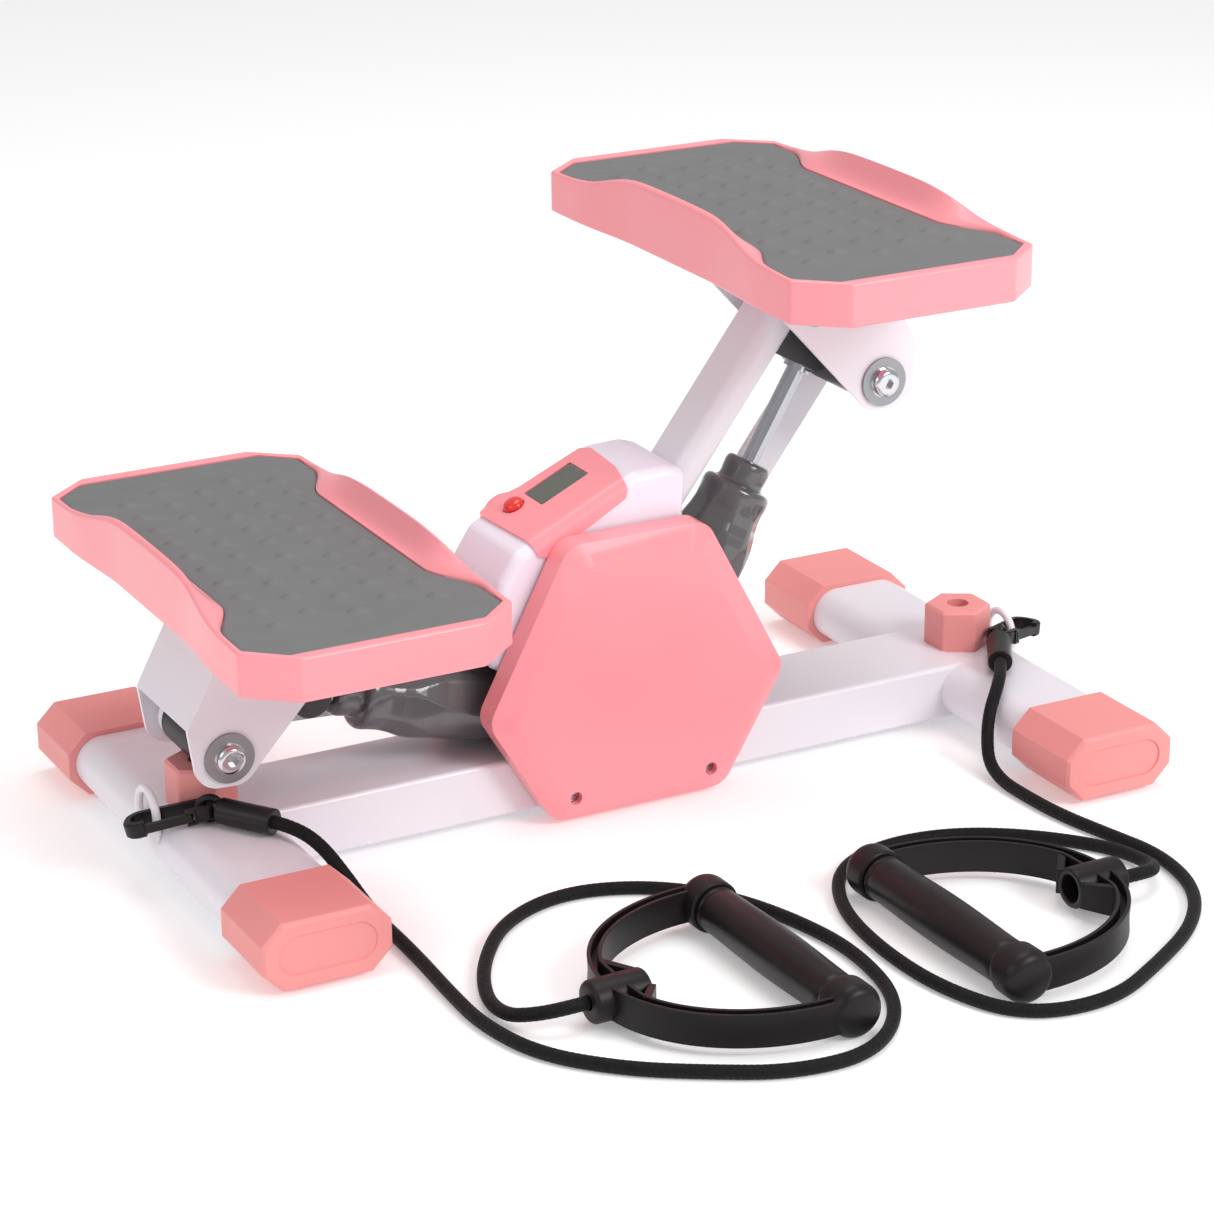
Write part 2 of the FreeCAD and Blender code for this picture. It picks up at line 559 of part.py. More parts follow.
def bracket_shape():
    """Folded plate about the lower bolt; x outward, z up."""
    top = ROOF_BOTTOM - LINK_OFFSET[1]
    under = SKIRT_BOTTOM - LINK_OFFSET[1]
    ear_points = [(-103, top), (-8, top), (-8, under), (2.5, 60), (24, 20, 3), (19, -17, 15),
                  (-9.5, -18.2, 13), (-68.6, 46.5), (-103, 84)]
    result = None
    for y0, y1 in ((-EAR_OUTER, -EAR_OUTER + EAR_THICK), (EAR_OUTER - EAR_THICK, EAR_OUTER)):
        ear = plate_y(ear_points, y0, y1)
        ear = ear.cut(bar_y(0, 0, -60, 60, PIN_RADIUS + 0.02))
        ear = ear.cut(bar_y(-LINK_OFFSET[0], -LINK_OFFSET[1], -60, 60, PIN_RADIUS + 0.02))
        result = ear if result is None else result.fuse(ear)
    inner = EAR_OUTER - EAR_THICK
    web = plate_y([(-8, top), (-8, under), (2.5, 60), (24, 20), (21.2, 18.8), (-0.3, 59), (-11, under - 1),
                   (-11, top)], -inner, inner)
    flange = block(-103, -8, -inner, inner, top - 3.0, top)
    result = result.fuse(web).fuse(flange)
    for x, y in FLANGE_SCREWS:
        result = result.cut(bar((x - LINK_OFFSET[0], y, top - 10), (x - LINK_OFFSET[0], y, top + 5), 3.02))
    return result.removeSplitter()


def link_shapes():
    """Bar from the base pin (origin) out along +X to the end tube."""
    link = block(0, ARM_LENGTH, LINK_Y0, LINK_Y1, -12, 12)
    link = link.fuse(bar_y(0, 0, LINK_Y0, LINK_Y1, 14))
    tube = bar_y(ARM_LENGTH, 0, -36.3, 36.3, 9.0)
    link = link.fuse(bar_y(ARM_LENGTH, 0, LINK_Y0, LINK_Y1, 14)).fuse(tube)
    link = link.cut(bar_y(0, 0, 20, 40, 6.0 + RUNNING_FIT))
    link = link.cut(bar_y(ARM_LENGTH, 0, -40, 40, PIN_RADIUS + RUNNING_FIT))
    roller = bar_y(ARM_LENGTH, 0, -36.2, LINK_Y0 - 0.2, ROLLER_RADIUS)
    return link.removeSplitter(), roller.cut(bar_y(ARM_LENGTH, 0, -40, 40, 9.0))


def revolve_x(points):
    face = Part.Face(Part.makePolygon([Vec(x, 0, r) for x, r in points + [points[0]]]))
    return face.revolve(Vec(0, 0, 0), AXIS_X, 360)


def cylinder_shape():
    top = COLLAR_TOP
    body = [(6, 0), (6, 9.5), (14, 11), (20, 15), (30, 19), (48, 24.2), (52, 25.1), (95, 25.1), (104, 24.7),
            (113, 23.5), (119, 21.5), (125, 20.4), (131, 20.6), (137, 20.8), (139, 19.5), (141, 15),
            (143, 13.5), (145, 14.5), (153.5, 14.5), (top, 12.5), (top, 0)]
    shape = revolve_x(body)
    shape = shape.fuse(bar_y(0, 0, -11, 11, 11.0))
    shape = shape.cut(bar_y(0, 0, -20, 20, PIN_RADIUS + RUNNING_FIT))
    shape = shape.cut(bar((50, 0, 0), (136, 0, 0), PISTON_RADIUS + 0.1))
    shape = shape.cut(bar((130, 0, 0), (top + 1, 0, 0), ROD_RADIUS + RUNNING_FIT))
    return shape.removeSplitter()


def rod_shape(length):
    inner = length - ROD_LENGTH
    rod = bar((inner, 0, 0), (length - 8, 0, 0), ROD_RADIUS)
    rod = rod.fuse(bar((inner, 0, 0), (inner + 8, 0, 0), PISTON_RADIUS))
    rod = rod.fuse(bar((length - 17, 0, 0), (length - 8, 0, 0), 8.5))
    eye = bar_y(length, 0, -10, 10, ROD_EYE_RADIUS)
    return rod.fuse(eye).cut(bar_y(length, 0, -12, 12, ROD_EYE_BORE)).removeSplitter()


def arm_point(degrees, along, below):
    a = math.radians(degrees)
    return (AXLE[0] + along * math.cos(a) + below * math.sin(a),
            AXLE[1] + along * math.sin(a) - below * math.cos(a))


for side in (-1, 1):
    word = WORD[side]
    rise = RISE[side]
    pivot = arm_point(rise, ARM_LENGTH, 0)
    print("pedal pivot", word, round(side * pivot[0], 3), round(pivot[1], 3))
    save("pedal_tray_" + word, on_side(moved(tray, pivot[0], 0, pivot[1]), side))
    save("pedal_mat_" + word, on_side(moved(mat, pivot[0], 0, pivot[1]), side))
    low = (pivot[0] + LINK_OFFSET[0], pivot[1] + LINK_OFFSET[1])
    save("pedal_bracket_" + word, on_side(moved(bracket_shape(), low[0], 0, low[1]), side))
    fasteners = pivot_bolt(low[0], low[1], PIN_RADIUS, 15.0)
    fasteners += pivot_bolt(pivot[0], pivot[1], PIN_RADIUS, 11.0)
    for x, y in FLANGE_SCREWS:
        flat = pivot[1] + ROOF_BOTTOM - 3.0
        screw = bar((pivot[0] + x, y, flat), (pivot[0] + x, y, pivot[1] + ROOF_TOP - 0.4), 3.0)
        fasteners.append(screw.fuse(bar((pivot[0] + x, y, flat - 4), (pivot[0] + x, y, flat), 5.0)))
    save("pedal_fasteners_" + word, [on_side(shape, side) for shape in fasteners])

    base_x = LINK_OFFSET[0]
    base_z = AXLE[1] + LINK_OFFSET[1]
    link, roller = link_shapes()
    for name, shape in (("link_bar_", link), ("link_roller_", roller)):
        placed = turned(moved(shape, base_x, 0, base_z), (base_x, base_z), rise)
        save(name + word, on_side(placed, side))

    rod_pin = arm_point(rise, ROD_PIN_ALONG, ROD_PIN_BELOW)
    reach = (rod_pin[0] - CYLINDER_PIN[0], rod_pin[1] - CYLINDER_PIN[1])
    length = math.hypot(reach[0], reach[1])
    angle = math.degrees(math.atan2(reach[1], reach[0]))
    print("cylinder", word, round(length, 3), "mm at", round(angle, 3), "degrees")
    for name, shape in (("cylinder_body_", cylinder_shape()), ("piston_rod_", rod_shape(length))):
        placed = turned(moved(shape, CYLINDER_PIN[0], 0, CYLINDER_PIN[1]), CYLINDER_PIN, angle)
        save(name + word, on_side(placed, side))

# ================= resistance bands =================

def cord(points, radius):
    """Straight runs joined by tangent arcs."""
    nodes = [Vec(*p) for p in points]
    edges = []
    current = nodes[0]
    radii = []
    for i in range(1, len(nodes) - 1):
        back = nodes[i - 1] - nodes[i]
        ahead = nodes[i + 1] - nodes[i]
        shorter = min(back.Length, ahead.Length)
        turn = math.pi - back.getAngle(ahead)
        reach = 0.45 * shorter
        bend = reach / math.tan(turn / 2)
        radii.append(bend)
        entry = nodes[i] + Vec(back).normalize() * reach
        leave = nodes[i] + Vec(ahead).normalize() * reach
        inward = (Vec(back).normalize() + Vec(ahead).normalize()).normalize()
        middle = nodes[i] + inward * (bend / math.cos(turn / 2) - bend)
        edges.append(Part.LineSegment(current, entry).toShape())
        edges.append(Part.Arc(entry, middle, leave).toShape())
        current = leave
    edges.append(Part.LineSegment(current, nodes[-1]).toShape())
    wire = Part.Wire(edges)
    length = sum(edge.Length for edge in edges)
    section = Part.Wire([Part.makeCircle(radius, nodes[0], nodes[1] - nodes[0])])
    solid = wire.makePipeShell([section], True, False)
    swept = math.pi * radius * radius * length
    print("cord length", round(length, 1), "smallest bend", round(min(radii), 1),
          "volume ratio", round(solid.Volume / swept, 4))
    print("bends", [round(r) for r in radii])
    return solid


SLEEVE = {
    -1: ((-262.7, -36.0, 49.3), (-242.0, -65.4, 49.0)),
    1: ((270.9, -31.5, 49.6), (251.7, -61.9, 49.2)),
}
CORD_ROUTE = {
    -1: [(-242.0, -65.4, 49.0), (-233.6, -77.3, 48.2), (-224.5, -90, 41), (-216, -102, 26),
         (-209.5, -113.5, 12), (-206, -130, 4.5), (-205.5, -152, 4), (-206.5, -184, 4),
         (-209, -224, 4), (-210, -264, 4), (-199, -308, 4), (-168, -343, 4), (-134, -366, 4),
         (-93, -389, 4), (-43, -391, 4), (-3, -350, 4), (8, -286, 4), (-2, -232, 4), (-22, -186, 4),
         (-58, -154, 4), (-102, -142, 4), (-146, -160, 4), (-178, -200, 4), (-195, -238, 4),
         (-197.2, -266.0, 7), (-189.1, -281.2, 12), (-175.8, -289, 15.2), (-160, -289, 15.5)],
    1: [(251.7, -61.9, 49.2), (244.2, -73.7, 48.8), (234, -86, 46), (221.5, -96, 34.5),
        (215, -103.5, 22), (209.5, -114.5, 9.4), (207.8, -132, 4.4), (208, -152, 4), (210, -188, 4),
        (219, -226, 4), (229, -266, 4), (219, -312, 4), (189, -349, 4), (147, -376, 4), (98, -402, 4),
        (46, -394, 4), (25, -348, 4), (21, -292, 4), (29, -235, 4), (54, -191, 4), (94, -175, 4),
        (138, -180, 4), (178, -205, 4), (210, -242, 4), (213.4, -274.5, 6.5), (205.1, -291.2, 11.5),
        (191.9, -299, 15.2), (176, -299, 15.5)],
}
HOOK = {-1: ((-310.0, -7.0, 37.2), (-264.0, -31.5, 50.2)), 1: ((317.2, 1.2, 41.2), (272.0, -27.0, 50.2))}
HANDLE = {-1: (-43.0, -287.0, 1.3), 1: (59.0, -297.5, 180.7)}


def hook_frame():
    """Flat snap hook: +X outer end, gate on the -Y side."""
    half = HOOK_THICK / 2
    body = plate_z([(27, -11, 9), (27, 11, 9), (-27, 8, 6), (-27, -8, 6)], -half, half)
    body = body.makeChamfer(1.0, [e for e in body.Edges if abs(abs(e.CenterOfMass.z) - half) < 0.01])
    body = body.cut(plate_z([(22.5, -6.5, 5.5), (22.5, 6.5, 5.5), (-20.5, 4.5, 3.5), (-20.5, -4.5, 3.5)],
                            -half, half))
    body = body.cut(block(-28, -20, -4.5, 4.5, -half, half))
    body = body.fuse(bar((HOOK_BAR_X, -5, 0), (HOOK_BAR_X, 5, 0), 3.0))
    body = body.cut(block(-14, 14, -14, -3.5, -half, half))
    ears = block(-16.5, -10.5, -9.4, -4.9, -half, half)
    body = body.fuse(ears).cut(block(-15.4, -9, -14, -3.5, -2.9, 2.9))
    return body.removeSplitter()


def hook_gate():
    gate = plate_z([(-13.9, -9.3), (13.6, -10.3), (13.6, -6.7), (-13.9, -5.7)], -2.5, 2.5)
    return gate.cut(bar((-12.4, -7.2, -3.2), (-12.4, -7.2, 3.2), 1.1))


def hook_axes(side):
    outer = Vec(*HOOK[side][0])
    inner = Vec(*HOOK[side][1])
    direction = (outer - inner).normalize()
    across = AXIS_Z.cross(direction).normalize()
    if side < 0:
        across = across * -1
    normal = direction.cross(across)
    return (outer + inner) * 0.5, direction, across, normal


def placed_hook(shape, side):
    middle, direction, across, normal = hook_axes(side)
    matrix = FreeCAD.Matrix(direction.x, across.x, normal.x, middle.x,
                            direction.y, across.y, normal.y, middle.y,
                            direction.z, across.z, normal.z, middle.z, 0, 0, 0, 1)
    copy = shape.copy()
    copy.transformShape(matrix)
    return copy


def sleeve_shape(side):
    """Moulded sleeve with a loop eye round the inner bar of the hook."""
    start = Vec(*SLEEVE[side][0])
    end = Vec(*SLEEVE[side][1])
    direction = (end - start).normalize()
    sleeve = bar(tuple(start), tuple(end), SLEEVE_RADIUS)
    rims = [e for e in sleeve.Edges if e.Length > 40 and e.Length < 60 and len(e.Vertexes) == 1]
    middle, along, across, normal = hook_axes(side)
    loop = Part.makeTorus(6.4, 2.3, middle + along * HOOK_BAR_X, across)
    return sleeve.makeFillet(0.8, rims).fuse(loop).removeSplitter()


for side in (-1, 1):
    word = WORD[side]
    save("band_cord_" + word, cord(CORD_ROUTE[side], CORD_RADIUS))
    save("band_sleeve_" + word, sleeve_shape(side))
    save("snap_hook_" + word, placed_hook(hook_frame(), side))
    save("hook_gate_" + word, placed_hook(hook_gate(), side))


def handle_oval(inset, height):
    centre = Vec(HANDLE_BEND_X, 0, -height)
    oval = Part.Ellipse(centre, HANDLE_REACH - inset, HANDLE_HALF_SPAN - inset).toShape()
    return Part.Face(Part.Wire([oval])).extrude(Vec(0, 0, 2 * height))


def handle_shape():
    """D-shaped strap with an H section, hub, end caps and the rod inside the grip."""
    oval = handle_oval(0, 12).cut(handle_oval(8, 12))
    groove = handle_oval(2.2, 12).cut(handle_oval(5.8, 12))
    for z0, z1 in ((-13, -2), (2, 13)):
        oval = oval.cut(groove.common(block(-130, 130, -100, 100, z0, z1)))
    band = oval.common(block(-130, HANDLE_BEND_X, -100, 100, -15, 15))
    for y0, y1 in ((-84, -76), (76, 84)):
        band = band.fuse(block(HANDLE_BEND_X, 10, y0, y1, -12, 12))
    hub = bar((-HUB_END, 0, 0), (-88, 0, 0), 12.0)
    frame = band.fuse(hub)
    for y0, y1 in ((-79, -GRIP_HALF_LENGTH - 0.4), (GRIP_HALF_LENGTH + 0.4, 79)):
        frame = frame.fuse(bar((0, y0, 0), (0, y1, 0), 15.5))
    frame = frame.fuse(bar((0, -70, 0), (0, 70, 0), 6.0))
    frame = frame.cut(block(-200, 60, -100, 100, -30, -HANDLE_Z))
    return frame.removeSplitter()


def grip_shape():
    end = GRIP_HALF_LENGTH
    profile = [(-end, 13.4), (-50, 13.6), (-20, 14.3), (20, 14.3), (50, 13.6), (end, 13.4), (end, 6.4),
               (-end, 6.4)]
    face = Part.Face(Part.makePolygon([Vec(r, y, 0) for y, r in profile + [profile[0]]]))
    return face.revolve(Vec(0, 0, 0), AXIS_Y, 360)


for side in (-1, 1):
    x, y, angle = HANDLE[side]
    for name, shape in (("handle_frame_", handle_shape()), ("handle_grip_", grip_shape())):
        copy = shape.copy()
        copy.rotate(Vec(0, 0, 0), AXIS_Z, angle)
        copy.translate(Vec(x, y, HANDLE_Z))
        save(name + WORD[side], copy)
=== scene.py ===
import bpy
import bmesh
import json
import math
from mathutils import Matrix, Vector


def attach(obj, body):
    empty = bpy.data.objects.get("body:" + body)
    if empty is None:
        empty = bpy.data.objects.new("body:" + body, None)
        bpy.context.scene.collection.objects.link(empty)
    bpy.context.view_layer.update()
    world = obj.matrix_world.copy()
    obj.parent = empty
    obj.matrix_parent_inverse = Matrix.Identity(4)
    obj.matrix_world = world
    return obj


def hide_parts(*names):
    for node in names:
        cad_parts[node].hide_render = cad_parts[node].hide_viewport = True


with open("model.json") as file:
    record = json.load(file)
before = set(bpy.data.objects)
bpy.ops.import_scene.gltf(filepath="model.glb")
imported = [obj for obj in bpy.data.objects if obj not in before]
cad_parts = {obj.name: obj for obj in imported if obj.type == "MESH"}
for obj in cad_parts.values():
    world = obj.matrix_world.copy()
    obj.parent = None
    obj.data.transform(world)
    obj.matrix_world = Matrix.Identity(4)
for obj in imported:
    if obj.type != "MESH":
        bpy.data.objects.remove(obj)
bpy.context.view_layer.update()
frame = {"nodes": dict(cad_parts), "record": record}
scene = bpy.context.scene
MM = 0.001

# ---------------------------------------------------------------- camera

YAW = math.radians(27.804)
PITCH = math.radians(20.868)
ROLL = math.radians(-0.477)
CAMERA_AT = (-0.9272, -1.7698, 0.8741)
LENS_MM = 105.0

forward = Vector((math.sin(YAW) * math.cos(PITCH), math.cos(YAW) * math.cos(PITCH), -math.sin(PITCH)))
level = Vector((math.cos(YAW), -math.sin(YAW), 0))
upward = level.cross(forward)
right = math.cos(ROLL) * level + math.sin(ROLL) * upward
up = -math.sin(ROLL) * level + math.cos(ROLL) * upward
lens = bpy.data.cameras.new("camera")
lens.lens = LENS_MM
lens.sensor_width = 36.0
camera = bpy.data.objects.new("camera", lens)
turn = Matrix((right, up, -forward)).transposed().to_4x4()
camera.matrix_world = Matrix.Translation(CAMERA_AT) @ turn
scene.collection.objects.link(camera)
scene.camera = camera

# ---------------------------------------------------------------- materials


def principled(name):
    mat = bpy.data.materials.new(name)
    mat.use_nodes = True
    return mat, mat.node_tree, mat.node_tree.nodes["Principled BSDF"]


def coords(tree):
    return tree.nodes.new("ShaderNodeTexCoord").outputs["Object"]


def noise(tree, scale, detail=3.0, rough=0.5):
    node = tree.nodes.new("ShaderNodeTexNoise")
    node.inputs["Scale"].default_value = scale
    node.inputs["Detail"].default_value = detail
    node.inputs["Roughness"].default_value = rough
    tree.links.new(coords(tree), node.inputs["Vector"])
    return node.outputs["Fac"]


def ramp(tree, fac, low, high, a, b):
    node = tree.nodes.new("ShaderNodeMapRange")
    node.interpolation_type = "SMOOTHSTEP"
    node.inputs["From Min"].default_value = low
    node.inputs["From Max"].default_value = high
    node.inputs["To Min"].default_value = a
    node.inputs["To Max"].default_value = b
    tree.links.new(fac, node.inputs["Value"])
    return node.outputs["Result"]


def blend_colour(tree, fac, one, two):
    node = tree.nodes.new("ShaderNodeMix")
    node.data_type = "RGBA"
    node.inputs[6].default_value = (*one, 1)
    node.inputs[7].default_value = (*two, 1)
    tree.links.new(fac, node.inputs[0])
    return node.outputs[2]


def bump(tree, shader, height, strength, distance):
    node = tree.nodes.new("ShaderNodeBump")
    node.inputs["Strength"].default_value = strength
    node.inputs["Distance"].default_value = distance
    tree.links.new(height, node.inputs["Height"])
    tree.links.new(node.outputs["Normal"], shader.inputs["Normal"])


def srgb(r, g, b):
    """Linear colour from 0-255 display values."""
    out = []
    for c in (r, g, b):
        c = c / 255
        out.append(c / 12.92 if c <= 0.04045 else ((c + 0.055) / 1.055) ** 2.4)
    return tuple(out)


def surface(name, colour, shade=0.94, rough=(0.3, 0.4), grain=900.0, relief=0.15, depth=0.00006,
            metallic=0.0, coat=0.0, mottle=14.0, specular=0.5):
    """Painted, moulded or plated surface with mottled colour, uneven gloss and a fine grain."""
    mat, tree, shader = principled(name)
    shader.inputs["Metallic"].default_value = metallic
    shader.inputs["Coat Weight"].default_value = coat
    shader.inputs["Coat Roughness"].default_value = 0.12
    shader.inputs["Specular IOR Level"].default_value = specular
    dark = tuple(c * shade for c in colour)
    tone = noise(tree, mottle, 1.5, 0.4)
    gloss = noise(tree, mottle * 2.3, 1.0, 0.4)
    tree.links.new(blend_colour(tree, tone, dark, colour), shader.inputs["Base Color"])
    tree.links.new(ramp(tree, gloss, 0.2, 0.8, *rough), shader.inputs["Roughness"])
    bump(tree, shader, noise(tree, grain, 2.0), relief, depth)
    return mat


WHITE = surface("white_powder_coat", srgb(233, 229, 236), 0.97, (0.28, 0.40), 700, 0.25, 0.00008, coat=0.25)
SALMON = surface("salmon_plastic", srgb(238, 150, 148), 0.965, (0.40, 0.52), 2200, 0.35, 0.00005)
PINK = surface("pink_plastic", srgb(252, 152, 160), 0.985, (0.28, 0.33), 1600, 0.08, 0.00003, coat=0.2)
CONSOLE = surface("white_plastic", srgb(238, 233, 245), 0.99, (0.28, 0.34), 1500, 0.06, 0.00003, coat=0.25)
MAT_GREY = surface("grey_rubber", srgb(118, 118, 119), 0.90, (0.62, 0.78), 2600, 0.5, 0.00008, mottle=30,
                   specular=0.35)
CYLINDER = surface("cylinder_grey", srgb(88, 88, 90), 0.94, (0.16, 0.22), 900, 0.06, 0.00003, coat=0.6)
DARK_STEEL = surface("dark_steel", srgb(58, 58, 60), 0.85, (0.35, 0.5), 1200, 0.2, 0.00005)
BLACK = surface("black_plastic", srgb(27, 23, 24), 0.8, (0.36, 0.5), 1800, 0.35, 0.00006, specular=0.26)
RUBBER = surface("black_rubber", srgb(26, 22, 23), 0.8, (0.3, 0.42), 1500, 0.4, 0.00008, specular=0.3)
ZINC = surface("zinc_steel", srgb(184, 184, 188), 0.9, (0.24, 0.38), 1400, 0.15, 0.00003, metallic=1.0,
               mottle=60)
BRASS = surface("bush_brass", srgb(190, 160, 90), 0.9, (0.3, 0.45), 900, 0.2, 0.00004, metallic=1.0)
RED = surface("button_red", srgb(226, 42, 36), 0.96, (0.18, 0.26), 1500, 0.08, 0.00003, coat=0.4)
BOARD = surface("board_green", srgb(30, 110, 60), 0.85, (0.4, 0.5), 800, 0.3, 0.00008)
CELL = surface("battery_case", srgb(70, 70, 84), 0.9, (0.35, 0.45), 900, 0.15, 0.00004)


def chrome_material():
    mat, tree, shader = principled("rod_chrome")
    shader.inputs["Metallic"].default_value = 1.0
    tree.links.new(blend_colour(tree, noise(tree, 25, 3), srgb(168, 169, 173), srgb(190, 191, 195)),
                   shader.inputs["Base Color"])
    tree.links.new(ramp(tree, noise(tree, 180, 4, 0.7), 0.3, 0.7, 0.05, 0.13), shader.inputs["Roughness"])
    bump(tree, shader, noise(tree, 3000, 2), 0.05, 0.00001)
    return mat


CHROME = chrome_material()


def glass_material():
    mat, tree, shader = principled("window_glass")
    shader.inputs["Base Color"].default_value = (0.86, 0.88, 0.84, 1)
    shader.inputs["Transmission Weight"].default_value = 1.0
    shader.inputs["IOR"].default_value = 1.45
    tree.links.new(ramp(tree, noise(tree, 120, 3), 0.3, 0.7, 0.02, 0.07), shader.inputs["Roughness"])
    return mat


GLASS = glass_material()
LCD = surface("lcd_grey", srgb(112, 116, 106), 0.94, (0.3, 0.4), 1500, 0.05, 0.00002)

# ---------------------------------------------------------------- helpers


def paint(node, mat):
    data = frame["nodes"][node].data
    data.materials.clear()
    data.materials.append(mat)


def body_name(node):
    for body, nodes in frame["record"]["behaviour"]["bodies"].items():
        if node in nodes:
            return body
    return None


def slot_name(node):
    for entry in frame["record"]["subparts"]:
        if entry["node"] == node:
            return entry["material_slot"]
    return None


def add_piece(name, mesh, mat, node):
    """New object that rides with a CAD node and stands for it."""
    piece = bpy.data.objects.new(name, mesh)
    scene.collection.objects.link(piece)
    piece.data.materials.clear()
    piece.data.materials.append(mat)
    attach(piece, body_name(node))
    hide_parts(node)
    return piece


def shade(piece, degrees=35):
    """Smooth faces, with a crease where they meet at more than the given angle."""
    mesh = piece.data
    bm = bmesh.new()
    bm.from_mesh(mesh)
    for face in bm.faces:
        face.smooth = True
    for edge in bm.edges:
        edge.smooth = len(edge.link_faces) == 2 and edge.calc_face_angle(0) < math.radians(degrees)
    bm.to_mesh(mesh)
    bm.free()


def apply_modifiers(piece):
    graph = bpy.context.evaluated_depsgraph_get()
    done = bpy.data.meshes.new_from_object(piece.evaluated_get(graph))
    piece.modifiers.clear()
    piece.data = done


def soften(piece, width, segments=3, angle=28, smooth=40):
    """Round every hard edge over and keep the flats flat."""
    edges = piece.modifiers.new("edges", "BEVEL")
    edges.width = width * MM
    edges.segments = segments
    edges.limit_method = "ANGLE"
    edges.angle_limit = math.radians(angle)
    edges.use_clamp_overlap = True
    apply_modifiers(piece)
    shade(piece, smooth)
    even = piece.modifiers.new("normals", "WEIGHTED_NORMAL")
    even.keep_sharp = True
    apply_modifiers(piece)
    return piece


def refined(node, mat, width):
    """The CAD shape with its hard edges rounded over."""
    mesh = frame["nodes"][node].data.copy()
    bm = bmesh.new()
    bm.from_mesh(mesh)
    bmesh.ops.remove_doubles(bm, verts=bm.verts, dist=0.000004)
    bmesh.ops.dissolve_limit(bm, angle_limit=math.radians(0.6), verts=bm.verts, edges=bm.edges)
    bm.to_mesh(mesh)
    bm.free()
    return soften(add_piece(node + "_soft", mesh, mat, node), width)


def joint(name):
    for entry in frame["record"]["behaviour"]["joints"]:
        if entry["name"] == name:
            return entry
    return None


def smooth_step(value, low, high):
    t = min(1.0, max(0.0, (value - low) / (high - low)))
    return t * t * (3 - 2 * t)


def interpolate(table, value):
    """Piecewise line through (position, value) pairs."""
    for (x0, y0), (x1, y1) in zip(table, table[1:]):
        if value <= x1:
            return y0 + (y1 - y0) * max(0.0, value - x0) / (x1 - x0)
    return table[-1][1]


def mesh_from(name, verts, faces):
    """Mesh from points in millimetres, with its faces turned outwards."""
    mesh = bpy.data.meshes.new(name)
    mesh.from_pydata([(v[0] * MM, v[1] * MM, v[2] * MM) for v in verts], [], faces)
    bm = bmesh.new()
    bm.from_mesh(mesh)
    bmesh.ops.remove_doubles(bm, verts=bm.verts, dist=0.0000005)
    bmesh.ops.recalc_face_normals(bm, faces=bm.faces)
    bm.to_mesh(mesh)
    bm.free()
    return mesh


def loft(rings, closed=False):
    """Faces between rings of equal count; closed joins last ring to first, or else both ends get a cap."""
    count = len(rings[0])
    verts = [point for ring in rings for point in ring]
    faces = []
    for j in range(len(rings) if closed else len(rings) - 1):
        a, b = j * count, ((j + 1) % len(rings)) * count
        for i in range(count):
            k = (i + 1) % count
            faces.append((a + i, a + k, b + k, b + i))
    if not closed:
        faces.append(tuple(range(count)))
        faces.append(tuple((len(rings) - 1) * count + i for i in range(count)))
    return verts, faces


def merge(parts):
    """Several (verts, faces) pairs as one."""
    verts, faces = [], []
    for more_verts, more_faces in parts:
        base = len(verts)
        verts.extend(more_verts)
        faces.extend(tuple(i + base for i in face) for face in more_faces)
    return verts, faces


def revolve(profile, around=48, turn=None):
    """Closed profile of (along, radius) pairs turned about X; turn shifts a radius by angle."""
    rings = []
    for i in range(around):
        angle = 2 * math.pi * i / around
        ring = []
        for along, radius in profile:
            r = turn(along, radius, angle) if turn else radius
            ring.append((along, r * math.cos(angle), r * math.sin(angle)))
        rings.append(ring)
    return loft(rings, closed=True)


def placed(shape, place):
    verts, faces = shape
    return [place(v) for v in verts], faces


# ---------------------------------------------------------------- bands

CORD_ROUTE = {
    "left": [(-242.0, -65.4, 49.0), (-233.6, -77.3, 48.2), (-224.5, -90, 41), (-216, -102, 26),
             (-209.5, -113.5, 12), (-206, -130, 4.5), (-205.5, -152, 4), (-206.5, -184, 4),
             (-209, -224, 4), (-210, -264, 4), (-199, -308, 4), (-168, -343, 4), (-134, -366, 4),
             (-93, -389, 4), (-43, -391, 4), (-3, -350, 4), (8, -286, 4), (-2, -232, 4), (-22, -186, 4),
             (-58, -154, 4), (-102, -142, 4), (-146, -160, 4), (-178, -200, 4), (-195, -238, 4),
             (-197.2, -266.0, 7), (-189.1, -281.2, 12), (-175.8, -289, 15.2), (-160, -289, 15.5)],
    "right": [(251.7, -61.9, 49.2), (244.2, -73.7, 48.8), (234, -86, 46), (221.5, -96, 34.5),
              (215, -103.5, 22), (209.5, -114.5, 9.4), (207.8, -132, 4.4), (208, -152, 4), (210, -188, 4),
              (219, -226, 4), (229, -266, 4), (219, -312, 4), (189, -349, 4), (147, -376, 4), (98, -402, 4),
              (46, -394, 4), (25, -348, 4), (21, -292, 4), (29, -235, 4), (54, -191, 4), (94, -175, 4),
              (138, -180, 4), (178, -205, 4), (210, -242, 4), (213.4, -274.5, 6.5), (205.1, -291.2, 11.5),
              (191.9, -299, 15.2), (176, -299, 15.5)],
}
CORD_RADIUS = 4.0
BRAID_STEP = 0.0011
BRAID_RATE = 900.0
BRAID_DEPTH = 0.00014


def woven_material():
    mat, tree, shader = principled("band_weave")
    shader.inputs["Sheen Weight"].default_value = 0.06
    shader.inputs["Specular IOR Level"].default_value = 0.15
    shader.inputs["Sheen Roughness"].default_value = 0.5
    tree.links.new(blend_colour(tree, noise(tree, 260, 4, 0.7), srgb(8, 8, 9), srgb(27, 26, 27)),
                   shader.inputs["Base Color"])
    tree.links.new(ramp(tree, noise(tree, 500, 3), 0.3, 0.7, 0.55, 0.78), shader.inputs["Roughness"])
    bump(tree, shader, noise(tree, 1800, 3, 0.6), 0.5, 0.00015)
    return mat


